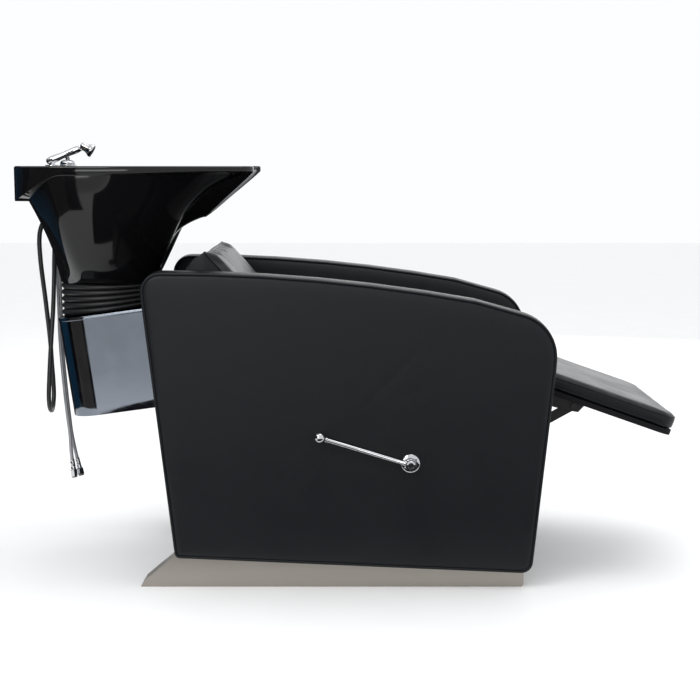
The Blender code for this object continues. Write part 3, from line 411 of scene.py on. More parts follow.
def join(name, objects):
    """Merge objects into a new one."""
    bm = bmesh.new()
    for obj in objects:
        bm.from_mesh(obj.data)
        bpy.data.objects.remove(obj, do_unlink=True)
    return finish_mesh(bm, name, radians(38), outward=False)


def path_length(points):
    """Length of a polyline."""
    return sum((Vector(q) - Vector(p)).length for p, q in zip(points, points[1:]))


def even(points, spacing, closed=False):
    """Points at equal steps along a polyline."""
    route = [Vector(p) for p in points]
    if closed:
        route.append(route[0].copy())
    length = path_length(route)
    count = max(2, round(length / spacing))
    result = [route[0].copy()]
    walked, target = 0.0, length / count
    for p, q in zip(route, route[1:]):
        step = (q - p).length
        while walked + step >= target - 1e-9 and len(result) < count:
            result.append(p.lerp(q, (target - walked) / step))
            target += length / count
        walked += step
    if not closed:
        result.append(route[-1].copy())
    return result


def catmull(a, b, c, d, t):
    """Point from b to c on the Catmull-Rom curve through four points."""
    return 0.5 * (2 * b + (c - a) * t + (2 * a - 5 * b + 4 * c - d) * t * t
                  + (3 * b - a - 3 * c + d) * t ** 3)


def rectangle(first, last, low, high):
    """Corners of a rectangle, counter-clockwise."""
    return [(first, low), (last, low), (last, high), (first, high)]


def smooth_route(points, spacing):
    """Evenly spaced points on a Catmull-Rom curve through the route's own points."""
    route = [Vector(p) for p in points]
    padded = [route[0] * 2 - route[1]] + route + [route[-1] * 2 - route[-2]]
    dense = []
    for a, b, c, d in zip(padded, padded[1:], padded[2:], padded[3:]):
        dense += [catmull(a, b, c, d, k / 12) for k in range(12)]
    dense.append(route[-1])
    return even(dense, spacing)


def fillet(corners, radii, steps=12):
    """Outline of a polygon with each corner rounded to its own radius."""
    outline = []
    count = len(corners)
    for i, (corner, radius) in enumerate(zip(corners, radii)):
        here = Vector(corner)
        before = (Vector(corners[i - 1]) - here).normalized()
        after = (Vector(corners[(i + 1) % count]) - here).normalized()
        if radius <= 0:
            outline.append((here.x, here.y))
            continue
        half = acos(max(-1, min(1, before.dot(after)))) / 2
        reach = radius / tan(half)
        centre = here + (before + after).normalized() * (radius / sin(half))
        start = here + before * reach - centre
        end = here + after * reach - centre
        first = atan2(start.y, start.x)
        turn = (atan2(end.y, end.x) - first + pi) % (2 * pi) - pi
        for k in range(steps + 1):
            angle = first + turn * k / steps
            outline.append((centre.x + radius * cos(angle), centre.y + radius * sin(angle)))
    return outline


# ---- cords
SHOWER_ROUTE = (      # centre line, from the hand shower down round the loop and up to the mixer
    (-0.712, -0.045, 0.9018), (-0.7123, -0.045, 0.885), (-0.7144, -0.045, 0.8663), (-0.7205, -0.045, 0.8486),
    (-0.7303, -0.045, 0.8325), (-0.7401, -0.045, 0.8164), (-0.7462, -0.045, 0.7987), (-0.7483, -0.045, 0.78),
    (-0.7485, -0.045, 0.76), (-0.7465, -0.044, 0.72), (-0.7445, -0.036, 0.68), (-0.744, -0.02, 0.64),
    (-0.744, -0.004, 0.6), (-0.744, 0.013, 0.558), (-0.7445, 0.03, 0.51), (-0.745, 0.041, 0.465),
    (-0.7448, 0.0475, 0.435), (-0.7445, 0.051, 0.4055), (-0.7436, 0.0471, 0.386),
    (-0.7426, 0.0361, 0.3694), (-0.7411, 0.0195, 0.3584), (-0.7395, 0.0, 0.3545),
    (-0.7382, -0.0195, 0.3584), (-0.7371, -0.0361, 0.3694), (-0.7358, -0.0471, 0.386),
    (-0.7348, -0.051, 0.4055), (-0.7338, -0.0475, 0.435), (-0.7325, -0.042, 0.47),
    (-0.731, -0.03, 0.52), (-0.7303, -0.012, 0.57), (-0.7303, 0.003, 0.604), (-0.731, 0.02, 0.648),
    (-0.7318, 0.034, 0.69), (-0.7318, 0.042, 0.735), (-0.729, 0.046, 0.785), (-0.72, 0.049, 0.835),
    (-0.7065, 0.05, 0.87), (-0.7027, 0.05, 0.886), (-0.702, 0.05, 0.8988))


def tail_route(shift):
    """Centre line of one supply tail, from the mixer down behind the shroud."""
    return [(-0.6875, 0.050 + shift * 0.85, 0.8998), (-0.688, 0.050 + shift * 0.87, 0.880),
            (-0.695, 0.052 + shift, 0.840), (-0.708, 0.055 + shift * 1.2, 0.800),
            (-0.7195, 0.058 + shift * 1.4, 0.755),
            (-0.7245, 0.060 + shift * 1.4, 0.705), (-0.7255, 0.060 + shift * 1.3, 0.650),
            (-0.7245, 0.058 + shift * 1.2, 0.590), (-0.7240, 0.055 + shift, 0.538),
            (-0.7210, 0.053 + shift, 0.478), (-0.7175, 0.052 + shift, 0.430), (-0.7135, 0.051 + shift, 0.380),
            (-0.7085, 0.050 + shift, 0.328), (-0.7040, 0.050 + shift, 0.285),
            (-0.6995 + shift * 0.30, 0.050 + shift, 0.243), (-0.6940 + shift * 0.50, 0.050 + shift, 0.208)]


def hex_nut(name, start, along, low, high, across):
    """Six-sided nut with chamfered corners."""
    outer = across / cos(pi / 6)
    return turned(name, [(across * 0.80, low), (across * 0.97, low), (outer, low + 0.0012),
                         (outer, high - 0.0012), (across * 0.97, high), (across * 0.80, high)],
                  start, along, 6, radians(20))


def make_hoses():
    """Shower hose in a hanging loop, and two braided supply tails ending in union nuts."""
    path = smooth_route(SHOWER_ROUTE, 0.006)
    hose = dress(tube("shower_hose_cover", path, HOSE_R, 20), "basin_assembly", "rubber", "shower_hose")
    path_length(path)
    for shift, name in ((-0.010, "cold"), (0.010, "hot")):
        path = smooth_route(tail_route(shift), 0.006)
        tail = dress(tube(name + "_tail_braid", path, TAIL_R, 20), "basin_assembly", "braid",
                     name + "_supply_tail")
        end = path[-1]
        along = (end - path[-2]).normalized()
        ferrule = turned(name + "_ferrule", [(0.0046, -0.0145), (0.0056, -0.0140), (0.0058, -0.010),
                                             (0.0056, -0.0095), (0.0058, -0.0090), (0.0058, 0.0)], end, along)
        dress(ferrule, "basin_assembly", "chrome")
        collar = turned(name + "_collar", [(0.0046, 0.0), (0.0062, 0.0006), (0.0064, 0.0040),
                                           (0.0058, 0.0052), (0.0064, 0.0064), (0.0064, 0.0125),
                                           (0.0050, 0.0130)], end, along)
        nut = hex_nut(name + "_nut_hex", end, along, 0.0128, 0.0300, 0.0078)
        washer = turned(name + "_washer", [(0.0050, 0.0300), (0.0070, 0.0302), (0.0072, 0.0310),
                                           (0.0068, 0.0322), (0.0048, 0.0322)], end, along)
        dress(collar, "basin_assembly", "chrome")
        dress(nut, "basin_assembly", "chrome", name + "_supply_nut")
        dress(washer, "basin_assembly", "rubber")
        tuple(path[0])
        path_length(path)


# ---- upholstered arms and end panels
PANEL_SLOPE = -0.0445


def panel_low(x):
    """Height of the arm panels' lower edge."""
    return 0.0545 + PANEL_SLOPE * x


def rear_line(z):
    """X of the arm's raked rear edge."""
    return -0.467 + (0.684 - z) * tan(RAKE)


def arm_outline():
    """Side view of an arm panel, counter-clockwise from the lower rear corner."""
    rear_low = (-0.3975, panel_low(-0.3975))
    front_low = (0.4135, panel_low(0.4135))
    top = [(x, 0.722 - 0.126 * (x + 0.43) ** 2) for x in (0.28, 0.17, 0.05, -0.07, -0.19, -0.31)]
    corners = [rear_low, front_low, (0.4605, 0.500), (0.4675, 0.6060)] + top + [(-0.4713, 0.7222)]
    return fillet(corners, [0.012, 0.026, 0.30, 0.100] + [0] * len(top) + [0.045], 14)


def inset(outline, amount):
    """Outline moved inwards along its own normals."""
    result = []
    count = len(outline)
    for i, point in enumerate(outline):
        along = (outline[(i + 1) % count] - outline[i - 1]).normalized()
        result.append(point + Vector((-along.y, along.x)) * amount)
    return result


HALF_EDGE = (         # inset from the outline, and depth as a share of the panel's thickness
    (0.040, 0.004), (0.026, 0.010), (0.016, 0.022), (0.010, 0.040), (0.0065, 0.068), (0.0052, 0.092),
    (0.0040, 0.108), (0.0016, 0.124), (0.0004, 0.170), (-0.0010, 0.30))
EDGE_PROFILE = HALF_EDGE + ((-0.0016, 0.50),) + tuple((a, 1 - d) for a, d in HALF_EDGE[::-1])


def ruffle(point, amount, size):
    """Small even unevenness of stuffed leatherette."""
    return amount * noise.noise(Vector(point) * size)


def upholstered(name, outline, point, thickness, ripple=0.0006):
    """Stuffed panel with a crown on both faces; point(a, b, t) puts outline and depth in space."""
    flat = [p.xy for p in even([(a, b, 0) for a, b in outline], 0.007, closed=True)]
    centre = sum(flat, Vector((0, 0))) / len(flat)
    inner = inset(flat, EDGE_PROFILE[0][0])
    crown = []
    for share in (0.03, 0.12, 0.25, 0.40, 0.55, 0.70, 0.82):
        crown.append([(centre.lerp(p, share), 0.004 * exp((share - 1) * 3)) for p in inner])
    edge = [[(p, depth) for p in inset(flat, amount)] for amount, depth in EDGE_PROFILE]
    back = [[(p, 1 - depth) for p, depth in ring] for ring in crown[::-1]]

    def placed(p, depth):
        t = depth * thickness
        spot = Vector(point(p.x, p.y, t))
        sway = abs(ruffle(spot, ripple, 22.0) + ruffle(spot, ripple * 0.5, 60.0))
        return Vector(point(p.x, p.y, t + sway if depth < 0.5 else t - sway))

    rings = [[placed(p, depth) for p, depth in ring] for ring in crown + edge + back]
    return loft(name, rings, smooth=radians(60)), flat


def piping(name, flat, point, depth, body, radius=PIPING_R, amount=0.0034):
    """Welt sewn round a panel's edge."""
    path = [point(p.x, p.y, depth) for p in inset(flat, amount)]
    return dress(tube(name, path, radius, 10, closed=True), body, "leather")


def make_arms():
    """Stuffed arm panels with a welt along each edge; the right one is bored for the lever's shaft."""
    thickness = HALF_WIDTH - SIDE_IN - 0.0006
    for side, end in ((-1, "right"), (1, "left")):
        def point(a, b, t, side=side):
            return (a, side * (HALF_WIDTH - 0.0002 - t), b)
        panel, flat = upholstered("arm_cover_" + end, arm_outline(), point, thickness)
        if side < 0:
            bore = turned("bore", [(SHAFT_BORE_R, -0.05), (SHAFT_BORE_R, 0.15)],
                          (SHAFT[0], -HALF_WIDTH, SHAFT[1]), (0, 1, 0), 32)
            cut(panel, bore)
            panel.data.set_sharp_from_angle(angle=radians(70))
        dress(panel, "base", "leather", "arm_panel_" + end)
        piping("arm_welt_outer_" + end, flat, point, thickness * 0.092, "base")
        piping("arm_welt_inner_" + end, flat, point, thickness * 0.908, "base")


def end_panel(name, node, high, half, thickness, point):
    """Thin covered board across the unit."""
    outline = fillet(rectangle(-half, half, 0.0070, high), [0.004] * 4, 4)
    panel, _ = upholstered(name, outline, point, thickness, 0.0003)
    dress(panel, "base", "leather", node)


def make_end_panels():
    """Covered rear panel at the shroud's mouth, and the front panel behind the leg rest."""
    def rear(a, b, t):
        return (rear_line(b) + 0.0085 + t, a, b)

    def front(a, b, t):
        return (0.349 - (LEG_PIVOT[1] - b) * tan(FRONT_RAKE) - t, a, b)
    end_panel("rear_cover", "rear_panel", 0.665, SIDE_IN - 0.001, 0.0155, rear)
    end_panel("front_cover", "front_panel", 0.3835, 0.2160, 0.0118, front)


# ---- cushions
def puff(name, node, cap, planes, pressure=4.0, shrink=0.004, voxel=0.006):
    """Cushion blown up by cloth simulation from its slightly smaller CAD solid, then capped."""
    obj = link(name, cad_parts[node].data.copy())
    remesh = obj.modifiers.new("remesh", "REMESH")
    remesh.mode = "VOXEL"
    remesh.voxel_size = voxel
    apply_modifiers(obj)
    for vertex, normal in zip(obj.data.vertices, [n.vector.copy() for n in obj.data.vertex_normals]):
        vertex.co -= normal * shrink
    rest = [v.co.copy() for v in obj.data.vertices]
    cloth = obj.modifiers.new("cloth", "CLOTH")
    cloth.settings.quality = 5
    cloth.settings.use_pressure = True
    cloth.settings.uniform_pressure_force = pressure
    cloth.settings.effector_weights.gravity = 0
    for number in range(1, 21):
        scene.frame_set(number)
    blown = obj.evaluated_get(bpy.context.evaluated_depsgraph_get()).to_mesh()
    moved = [v.co.copy() for v in blown.vertices]
    obj.modifiers.clear()
    scene.frame_set(1)
    for vertex, old, new in zip(obj.data.vertices, rest, moved):
        shift = new - old
        if shift.length > cap:
            shift = shift.normalized() * cap
        vertex.co = old + shift
    bm = bmesh.new()
    bm.from_mesh(obj.data)
    for _ in range(3):
        bmesh.ops.smooth_vert(bm, verts=bm.verts, factor=0.5, use_axis_x=True, use_axis_y=True,
                              use_axis_z=True)
    slant = Vector((1, 1, 1)).normalized()
    for vertex in bm.verts:
        vertex.co += slant * ruffle(vertex.co, 0.0008, 26.0)
        for origin, normal in planes:
            over = (vertex.co - Vector(origin)).dot(Vector(normal))
            if over > 0:
                vertex.co -= Vector(normal) * over
    bm.to_mesh(obj.data)
    bm.free()
    obj.modifiers.new("subdivision", "SUBSURF").levels = 1
    apply_modifiers(obj)
    obj.data.shade_smooth()
    return obj


def seam(name, cushion, points, body, closed=True, radius=0.0030, sink=0.0008):
    """Welt laid on a cushion along a route near its surface."""
    bm = bmesh.new()
    bm.from_mesh(cushion.data)
    tree = BVHTree.FromBMesh(bm)
    bm.free()
    path = []
    for point in even(points, 0.006, closed):
        found, normal, _, _ = tree.find_nearest(point)
        path.append(found - normal * sink)
    for _ in range(2):
        last = len(path) - 1
        path = [p if not closed and i in (0, last) else (path[i - 1] + p * 2 + path[(i + 1) % len(path)]) / 4
                for i, p in enumerate(path)]
    return dress(tube(name, path, radius, 10, closed=closed), body, "leather")


def on_back(along, out, y):
    """Point on the reclined back: distance down its face, out from its face, and across."""
    return (BACK_TOP[0] + along * cos(BACK_PITCH) + out * sin(BACK_PITCH), y,
            BACK_TOP[1] - along * sin(BACK_PITCH) + out * cos(BACK_PITCH))


def on_leg(along, up, y):
    """Point on the raised leg rest: distance from the pivot along the pad, up square to it, and across."""
    return (LEG_PIVOT[0] + along * cos(LEG_SLOPE) + up * sin(LEG_SLOPE), y,
            LEG_PIVOT[1] - along * sin(LEG_SLOPE) + up * cos(LEG_SLOPE))


def side_planes(reach):
    """Upright planes on both sides that a cushion doesn't swell past."""
    return [((0, -reach, 0), (0, -1, 0)), ((0, reach, 0), (0, 1, 0))]


def make_seat():
    """Seat cushion with a welt round its top edge."""
    planes = [((0, 0, 0.4006), (0, 0, -1))] + side_planes(0.2535)
    cushion = puff("seat_pad", "seat_cushion", 0.010, planes)
    half = SEAT_HALF - 0.006
    top = [(x, y, 0.494) for x, y in fillet(rectangle(-0.045, 0.392, -half, half), [0.012] * 4, 6)]
    dress(cushion, "base", "leather", "seat_cushion")
    seam("seat_welt", cushion, top, "base")


def make_back():
    """Back cushion with a welt round its front face and one round its rear edge."""
    down = Vector((-sin(BACK_PITCH), 0, -cos(BACK_PITCH)))
    planes = [(on_back(0, -BACK_THICK, 0), down)] + side_planes(0.2400)
    cushion = puff("back_pad", "back_cushion", 0.010, planes)
    dress(cushion, "back", "leather", "back_cushion")
    half = BACK_HALF - 0.003
    for name, out, first, last in (("back_welt_front", -0.004, 0.004, BACK_LENGTH - 0.006),
                                   ("back_welt_rear", -BACK_THICK + 0.014, 0.0, BACK_LENGTH)):
        outline = fillet(rectangle(first, last, -half, half), [0.012] * 4, 6)
        seam(name, cushion, [on_back(a, out, y) for a, y in outline], "back")


def make_leg_rest():
    """Leg rest cushion with welts round its top and bottom edges."""
    down = Vector((-sin(LEG_SLOPE), 0, -cos(LEG_SLOPE)))
    planes = [(on_leg(0, LEG_LOW, 0), down)] + side_planes(0.2535)
    cushion = puff("leg_pad", "leg_cushion", 0.005, planes, shrink=0.002, voxel=0.005)
    dress(cushion, "leg_rest", "leather", "leg_cushion")
    half = LEG_HALF - 0.002
    outline = fillet(rectangle(LEG_START + 0.002, LEG_END - 0.002, -half, half),
                     [0.008, 0.040, 0.040, 0.008], 8)
    for name, up, radius in (("leg_welt_top", LEG_TOP - 0.002, 0.0026),
                             ("leg_welt_low", LEG_LOW + 0.003, 0.0022)):
        seam(name, cushion, [on_leg(a, up, y) for a, y in outline], "leg_rest", radius=radius)


# ---- lever
def make_lever():
    """Domed escutcheon with two screws, and the turned hub, rod and ball knob on the shaft's end."""
    y = -HALF_WIDTH - GAP
    flange = [(0.0092, 0.0), (0.0215, 0.0), (0.0217, 0.0008), (0.0212, 0.0022), (0.0200, 0.0034),
              (0.0180, 0.0043), (0.0150, 0.0050), (0.0095, 0.0052), (0.0092, 0.0050)]
    plate = turned("lever_flange", flange, (SHAFT[0], y, SHAFT[1]), OUTWARD, 96)
    screws = []
    for angle in (radians(40), radians(220)):
        centre = (SHAFT[0] + 0.0155 * cos(angle), y - 0.0046, SHAFT[1] + 0.0155 * sin(angle))
        screws.append(turned("screw", [(0.0028, -0.001), (0.0028, 0.0004), (0.0022, 0.0011), (0.0013, 0.0012),
                                       (0.0012, 0.0005), (0, 0.0005)], centre, OUTWARD, 24))
    dress(join("lever_flange_plate", [plate] + screws), "base", "chrome", "lever_escutcheon")
    boss = [(0.0085, 0.0), (0.0118, 0.0), (0.0125, 0.0008), (0.0125, 0.0036), (0.0119, 0.0042),
            (0.0125, 0.0048), (0.0125, 0.0150), (0.0120, 0.0172), (0.0106, 0.0188), (0.0070, 0.0193),
            (0.0068, 0.0186), (0, 0.0186)]
    hub = turned("lever_boss", boss, (SHAFT[0], y - 0.0080, SHAFT[1]), OUTWARD, 72)
    dress(hub, "drive", "chrome", "lever_hub")
    along = Vector((cos(LEVER_ANGLE), 0, sin(LEVER_ANGLE)))
    axis = Vector((SHAFT[0], y - 0.0175, SHAFT[1]))
    reach = LEVER_LENGTH - KNOB_R
    rod = [(0.0042, 0.0095), (0.0068, 0.0100), (0.0068, 0.0150), (0.0058, 0.0170), (0.0050, 0.0180),
           (0.0050, reach - 0.006), (0.0060, reach - 0.005), (0.0060, reach - 0.001), (0.0045, reach)]
    dress(turned("lever_stem", rod, axis, along, 40), "drive", "chrome", "lever_rod")
    ball = [(KNOB_R * sin(radians(d)), -KNOB_R * cos(radians(d))) for d in range(24, 180, 6)] + [(0, KNOB_R)]
    dress(turned("lever_knob", ball, axis + along * LEVER_LENGTH, along, 56), "drive", "chrome", "lever_ball")


# ---- shroud and bellows
def on_shroud(back, up, y):
    """Point in the shroud's frame: back from its corner line and up from its top edge."""
    return (SHROUD_CORNER[0] - back * cos(SHROUD_TILT) - up * sin(SHROUD_TILT), y,
            SHROUD_CORNER[1] - back * sin(SHROUD_TILT) + up * cos(SHROUD_TILT))


def shroud_mouth(up):
    """How far forward the shroud reaches at a height, up to the rear panel's face."""
    low, high = -0.30, 0.05
    for _ in range(40):
        middle = (low + high) / 2
        x, _, z = on_shroud(middle, up, 0)
        if x > rear_line(z) + 0.008 - 0.0006:
            low = middle
        else:
            high = middle
    return high


def plan_outline(amount, mouth, steps=28):
    """Plan of the shroud with round rear corners, from the right mouth round the back to the left."""
    radius = SHROUD_RADIUS - amount
    half = SHROUD_HALF - amount
    outline = [(mouth, -half), (mouth * 0.66, -half), (mouth * 0.33, -half)]
    for sign in (-1, 1):
        for k in range(steps + 1):
            a = pi / 2 * k / steps if sign < 0 else pi / 2 * (1 - k / steps)
            outline.append((radius * sin(a), sign * (half - radius + radius * cos(a))))
    return outline + [(mouth * 0.33, half), (mouth * 0.66, half), (mouth, half)]


def make_shroud():
    """Mirror-polished wrap with a hemmed upper edge and a small radius at the lower one."""
    outer = [(0.0012, -SHROUD_DEEP), (0.0003, -SHROUD_DEEP + 0.0004), (0.0, -SHROUD_DEEP + 0.0014)]
    outer += [(0.0, -SHROUD_DEEP * k / 10) for k in range(9, 0, -1)]
    outer += [(0.0, -0.0075), (-0.0007, -0.0068), (-0.0010, -0.0055), (-0.0010, -0.0014), (-0.0004, -0.0003),
              (0.0006, 0.0)]
    inner = [(0.0026, 0.0), (0.0034, -0.0006), (0.0034, -0.0065), (0.0026, -0.0080), (0.0025, -0.100),
             (0.0025, -SHROUD_DEEP)]
    bm = bmesh.new()
    loops = []
    for amount, up in outer + inner:
        plan = plan_outline(amount, shroud_mouth(up))
        loops.append([bm.verts.new(on_shroud(p, up, y)) for p, y in plan])
    count = len(loops)
    for i in range(count):
        one, two = loops[i], loops[(i + 1) % count]
        for k in range(len(one) - 1):
            bm.faces.new((one[k], one[k + 1], two[k + 1], two[k]))
    bm.faces.new([loop[0] for loop in loops])
    bm.faces.new([loop[-1] for loop in loops][::-1])
    wrap = finish_mesh(bm, "shroud_skin", radians(30))
    dress(wrap, "base", "polished_steel", "shroud_wrap")


def make_bellows():
    """Ribbed rubber boot between the shroud's lid and the basin's foot."""
    sides = 120
    folds = 5
    fine = 10

    def ring(level, swell):
        points = []
        for k in range(sides):
            a = 2 * pi * k / sides
            crease = 1 + 0.05 * noise.noise(Vector((cos(a) * 2, sin(a) * 2, level * 3)))
            x = BOWL_X + (BOOT_SIZE[0] + swell * crease) * cos(a)
            y = (BOOT_SIZE[1] + swell * crease) * sin(a)
            floor = SHROUD_CORNER[1] + (x - SHROUD_CORNER[0]) * tan(SHROUD_TILT) + 0.0005
            points.append((x, y, floor + (BOWL_FOOT - GAP - floor) * level))
        return points

    rings = []
    for k in range(folds * fine + 1):
        phase = k / fine
        bulge = abs(sin(pi * phase)) ** 0.55
        rings.append(ring(k / (folds * fine), 0.0015 + 0.0085 * bulge))
    rings += [ring(level, -0.004) for level in (1.0, 0.75, 0.5, 0.25, 0.0)]
    boot = loft("bellows_rubber", rings, closed=True, smooth=radians(75))
    dress(boot, None, "rubber", "bellows_boot")
    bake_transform(boot)


# ---- basin
RIM = ((-0.222, 0.0), (-0.222, 0.070), (-0.230, 0.148), (-0.300, 0.196), (-0.420, 0.232), (-0.550, 0.247),
       (-0.680, 0.237), (-0.762, 0.190), (-0.785, 0.110), (-0.785, 0.0))
RIM_INNER = ((-0.239, 0.0), (-0.239, 0.062), (-0.247, 0.132), (-0.312, 0.178), (-0.424, 0.214),
             (-0.525, 0.228), (-0.600, 0.216), (-0.642, 0.165), (-0.655, 0.090), (-0.655, 0.0))
FOOT_SIZE = (0.1175, 0.108)
FLOOR_SIZE = (0.085, 0.100)
FLOOR_X = -0.560
FLOOR_LEVEL = 0.706
BOWL_AXIS = Vector((BOWL_X, 0))
Station = namedtuple("Station", "rim lip foot base front rear side angle")


def closed_curve(half, count):
    """Sample the mirrored control points as a closed Catmull-Rom curve with count stations."""
    loop = [Vector((x, y)) for x, y in half]
    loop += [Vector((x, -y)) for x, y in half[-2:0:-1]]
    size = len(loop)
    points = []
    for k in range(count):
        place_on = k * size / count
        i = int(place_on)
        points.append(catmull(*(loop[(i + j) % size] for j in (-1, 0, 1, 2)), place_on - i))
    return points


def notch_weight(y):
    """One at the middle of the neck notch, falling to nothing at its horns."""
    if abs(y) >= NOTCH_HALF:
        return 0.0
    return cos(pi * y / (2 * NOTCH_HALF)) ** 1.15


def dipped(p):
    """Point of a rim curve in space, lowered and drawn back in the neck notch."""
    lower = notch_weight(p.y) if p.x > -0.4 else 0.0
    return Vector((p.x - NOTCH_BACK * lower, p.y, BOWL_RIM - NOTCH_DEPTH * lower))


def drawn_in(place, amount, drop):
    """Point moved towards the bowl's axis and down."""
    inward = (place.xy - BOWL_AXIS).normalized() * amount
    return (place.x - inward.x, place.y - inward.y, place.z - drop)


def ease(t):
    """Smooth step from 0 to 1."""
    t = max(0.0, min(1.0, t))
    return t * t * (3 - 2 * t)


def basin_stations(count):
    """What the basin's section needs at each place round it."""
    stations = []
    for p, q in zip(closed_curve(RIM, count), closed_curve(RIM_INNER, count)):
        angle = atan2(p.y, p.x - BOWL_X)
        front = max(0.0, cos(angle)) ** 1.5 if p.x > BOWL_X else 0.0
        rear = ease((-cos(angle) - 0.25) / 0.55)
        side = max(0.0, 1 - front - rear)
        foot = BOWL_AXIS + Vector((FOOT_SIZE[0] * cos(angle), FOOT_SIZE[1] * sin(angle)))
        floor_angle = atan2(q.y, q.x - FLOOR_X)
        base = Vector((FLOOR_X + FLOOR_SIZE[0] * cos(floor_angle), FLOOR_SIZE[1] * sin(floor_angle)))
        stations.append(Station(dipped(p), dipped(q), foot, base, front, rear, side, angle))
    return stations


def basin_rings(count):
    """Outer rings from rim to foot, then inner rings from the drain back up to the rim."""
    stations = basin_stations(count)

    def share_of(st, swoop, belly, back):
        return (st.front * swoop + st.rear * back + st.side * belly) / (st.front + st.rear + st.side)

    def band_of(st):
        return 0.022 - 0.010 * st.front + 0.060 * st.rear

    def belly_of(s):
        return sin(pi / 2 * s) ** 0.8 if s > 0 else 0.0

    def outside(st, s):
        share = share_of(st, 0.40 * s + 0.60 * s ** 6, belly_of(s), 0.50 * s ** 0.8 + 0.50 * s ** 1.6)
        flat = st.rim.xy
        under = flat + (BOWL_AXIS - flat).normalized() * (0.002 + 0.006 * st.front + 0.034 * st.rear)
        return (*st.foot.lerp(under, share), BOWL_FOOT + (st.rim.z - band_of(st) - BOWL_FOOT) * s)

    def inside(st, s):
        share = share_of(st, s ** 2.8, belly_of(s), s ** 0.7)
        return (*st.base.lerp(st.lip.xy, share), FLOOR_LEVEL + (st.lip.z - FLOOR_LEVEL) * s)

    rolled = ((0.0060, 0.0), (0.0035, 0.0004), (0.0016, 0.0013), (0.0004, 0.0028), (0.0, 0.0045))
    rings = [[drawn_in(st.rim, amount, drop) for st in stations] for amount, drop in rolled]
    rings.append([drawn_in(st.rim, 0.0, band_of(st) * 0.5) for st in stations])
    rings.append([drawn_in(st.rim, 0.0, band_of(st) - 0.003) for st in stations])
    rings.append([drawn_in(st.rim, 0.0010, band_of(st) - 0.0008) for st in stations])
    rings += [[outside(st, 1 - (k / 26) ** 1.15) for st in stations] for k in range(27)]
    for level in (BOWL_FOOT, 0.700):
        rings.append([(BOWL_X + DRAIN_R * cos(st.angle), DRAIN_R * sin(st.angle), level) for st in stations])
    rings += [[inside(st, (k / 22) ** 1.3) for st in stations] for k in range(22)]
    for amount, drop in ((0.0, 0.0045), (-0.0004, 0.0024), (-0.0018, 0.0008), (-0.0040, 0.0)):
        rings.append([drawn_in(st.lip, amount, drop) for st in stations])
    return rings


def cutter(outline, low, high):
    """Block along Y that is cut out and removed."""
    return loft("cutter", [[(a, y, b) for a, b in outline] for y in (low, high)])


def make_basin():
    """Glazed basin with a rolled rim, a neck notch with a pad strip, and an access pocket behind."""
    basin = loft("basin_glaze", basin_rings(200), closed=True, smooth=radians(50))
    holes = [turned("hole", [(radius, 0), (radius, 0.08)], (x, y, 0.90), UP, 48)
             for (x, y), radius in ((GUIDE_XY, 0.0125), (MIXER_XY, 0.0170))]
    pocket = fillet([(-0.770, DECK_UNDER), (-0.674, DECK_UNDER), (-0.674, 0.7385), (-0.830, 0.7385),
                     (-0.830, 0.860), (-0.770, 0.860)], [0, 0.012, 0.012, 0, 0, 0.006], 5)
    cut(basin, *holes, cutter(pocket, -0.0772, 0.0772))
    dress(basin, "basin_assembly", "ceramic", "basin")

    lip = sorted((p for p in closed_curve(RIM, 400) if p.x > -0.3 and abs(p.y) < 0.119), key=lambda p: p.y)
    line = [dipped(p) for p in lip]
    rings = []
    for k, p in enumerate(line):
        along = (line[min(len(line) - 1, k + 1)] - line[max(0, k - 1)]).normalized()
        out = Vector((0.72, 0, 0.69))
        out = (out - along * out.dot(along)).normalized()
        across = along.cross(out)
        near = min(k, len(line) - 1 - k)
        reach = 0.0060 * (1 - 0.75 * exp(-near / 2.0))
        rings.append(round_ring(p + out * 0.0090, out, across, 24, reach, reach * 1.3))
    strip = dress(loft("neck_strip", rings, smooth=radians(60)), "basin_assembly", "pad", "neck_rest")


def make_drain():
    """Domed strainer with three rings of holes."""
    profile = [(0.0205, 0.0), (0.0228, 0.0), (0.0231, 0.0008), (0.0225, 0.0019), (0.0200, 0.0028),
               (0.0150, 0.0038), (0.0080, 0.0044), (0, 0.0046)]
    level = 0.7003
    strainer = turned("strainer", profile, (BOWL_X, 0, level), UP, 72)
    holes = []
    for count, radius in ((6, 0.006), (11, 0.0105), (16, 0.0150)):
        for k in range(count):
            a = 2 * pi * k / count
            holes.append(turned("hole", [(0.0013, -0.01), (0.0013, 0.02)],
                                (BOWL_X + radius * cos(a), radius * sin(a), level), UP, 10))
    cut(strainer, join("holes", holes))
    dress(strainer, "basin_assembly", "chrome", "drain_strainer")


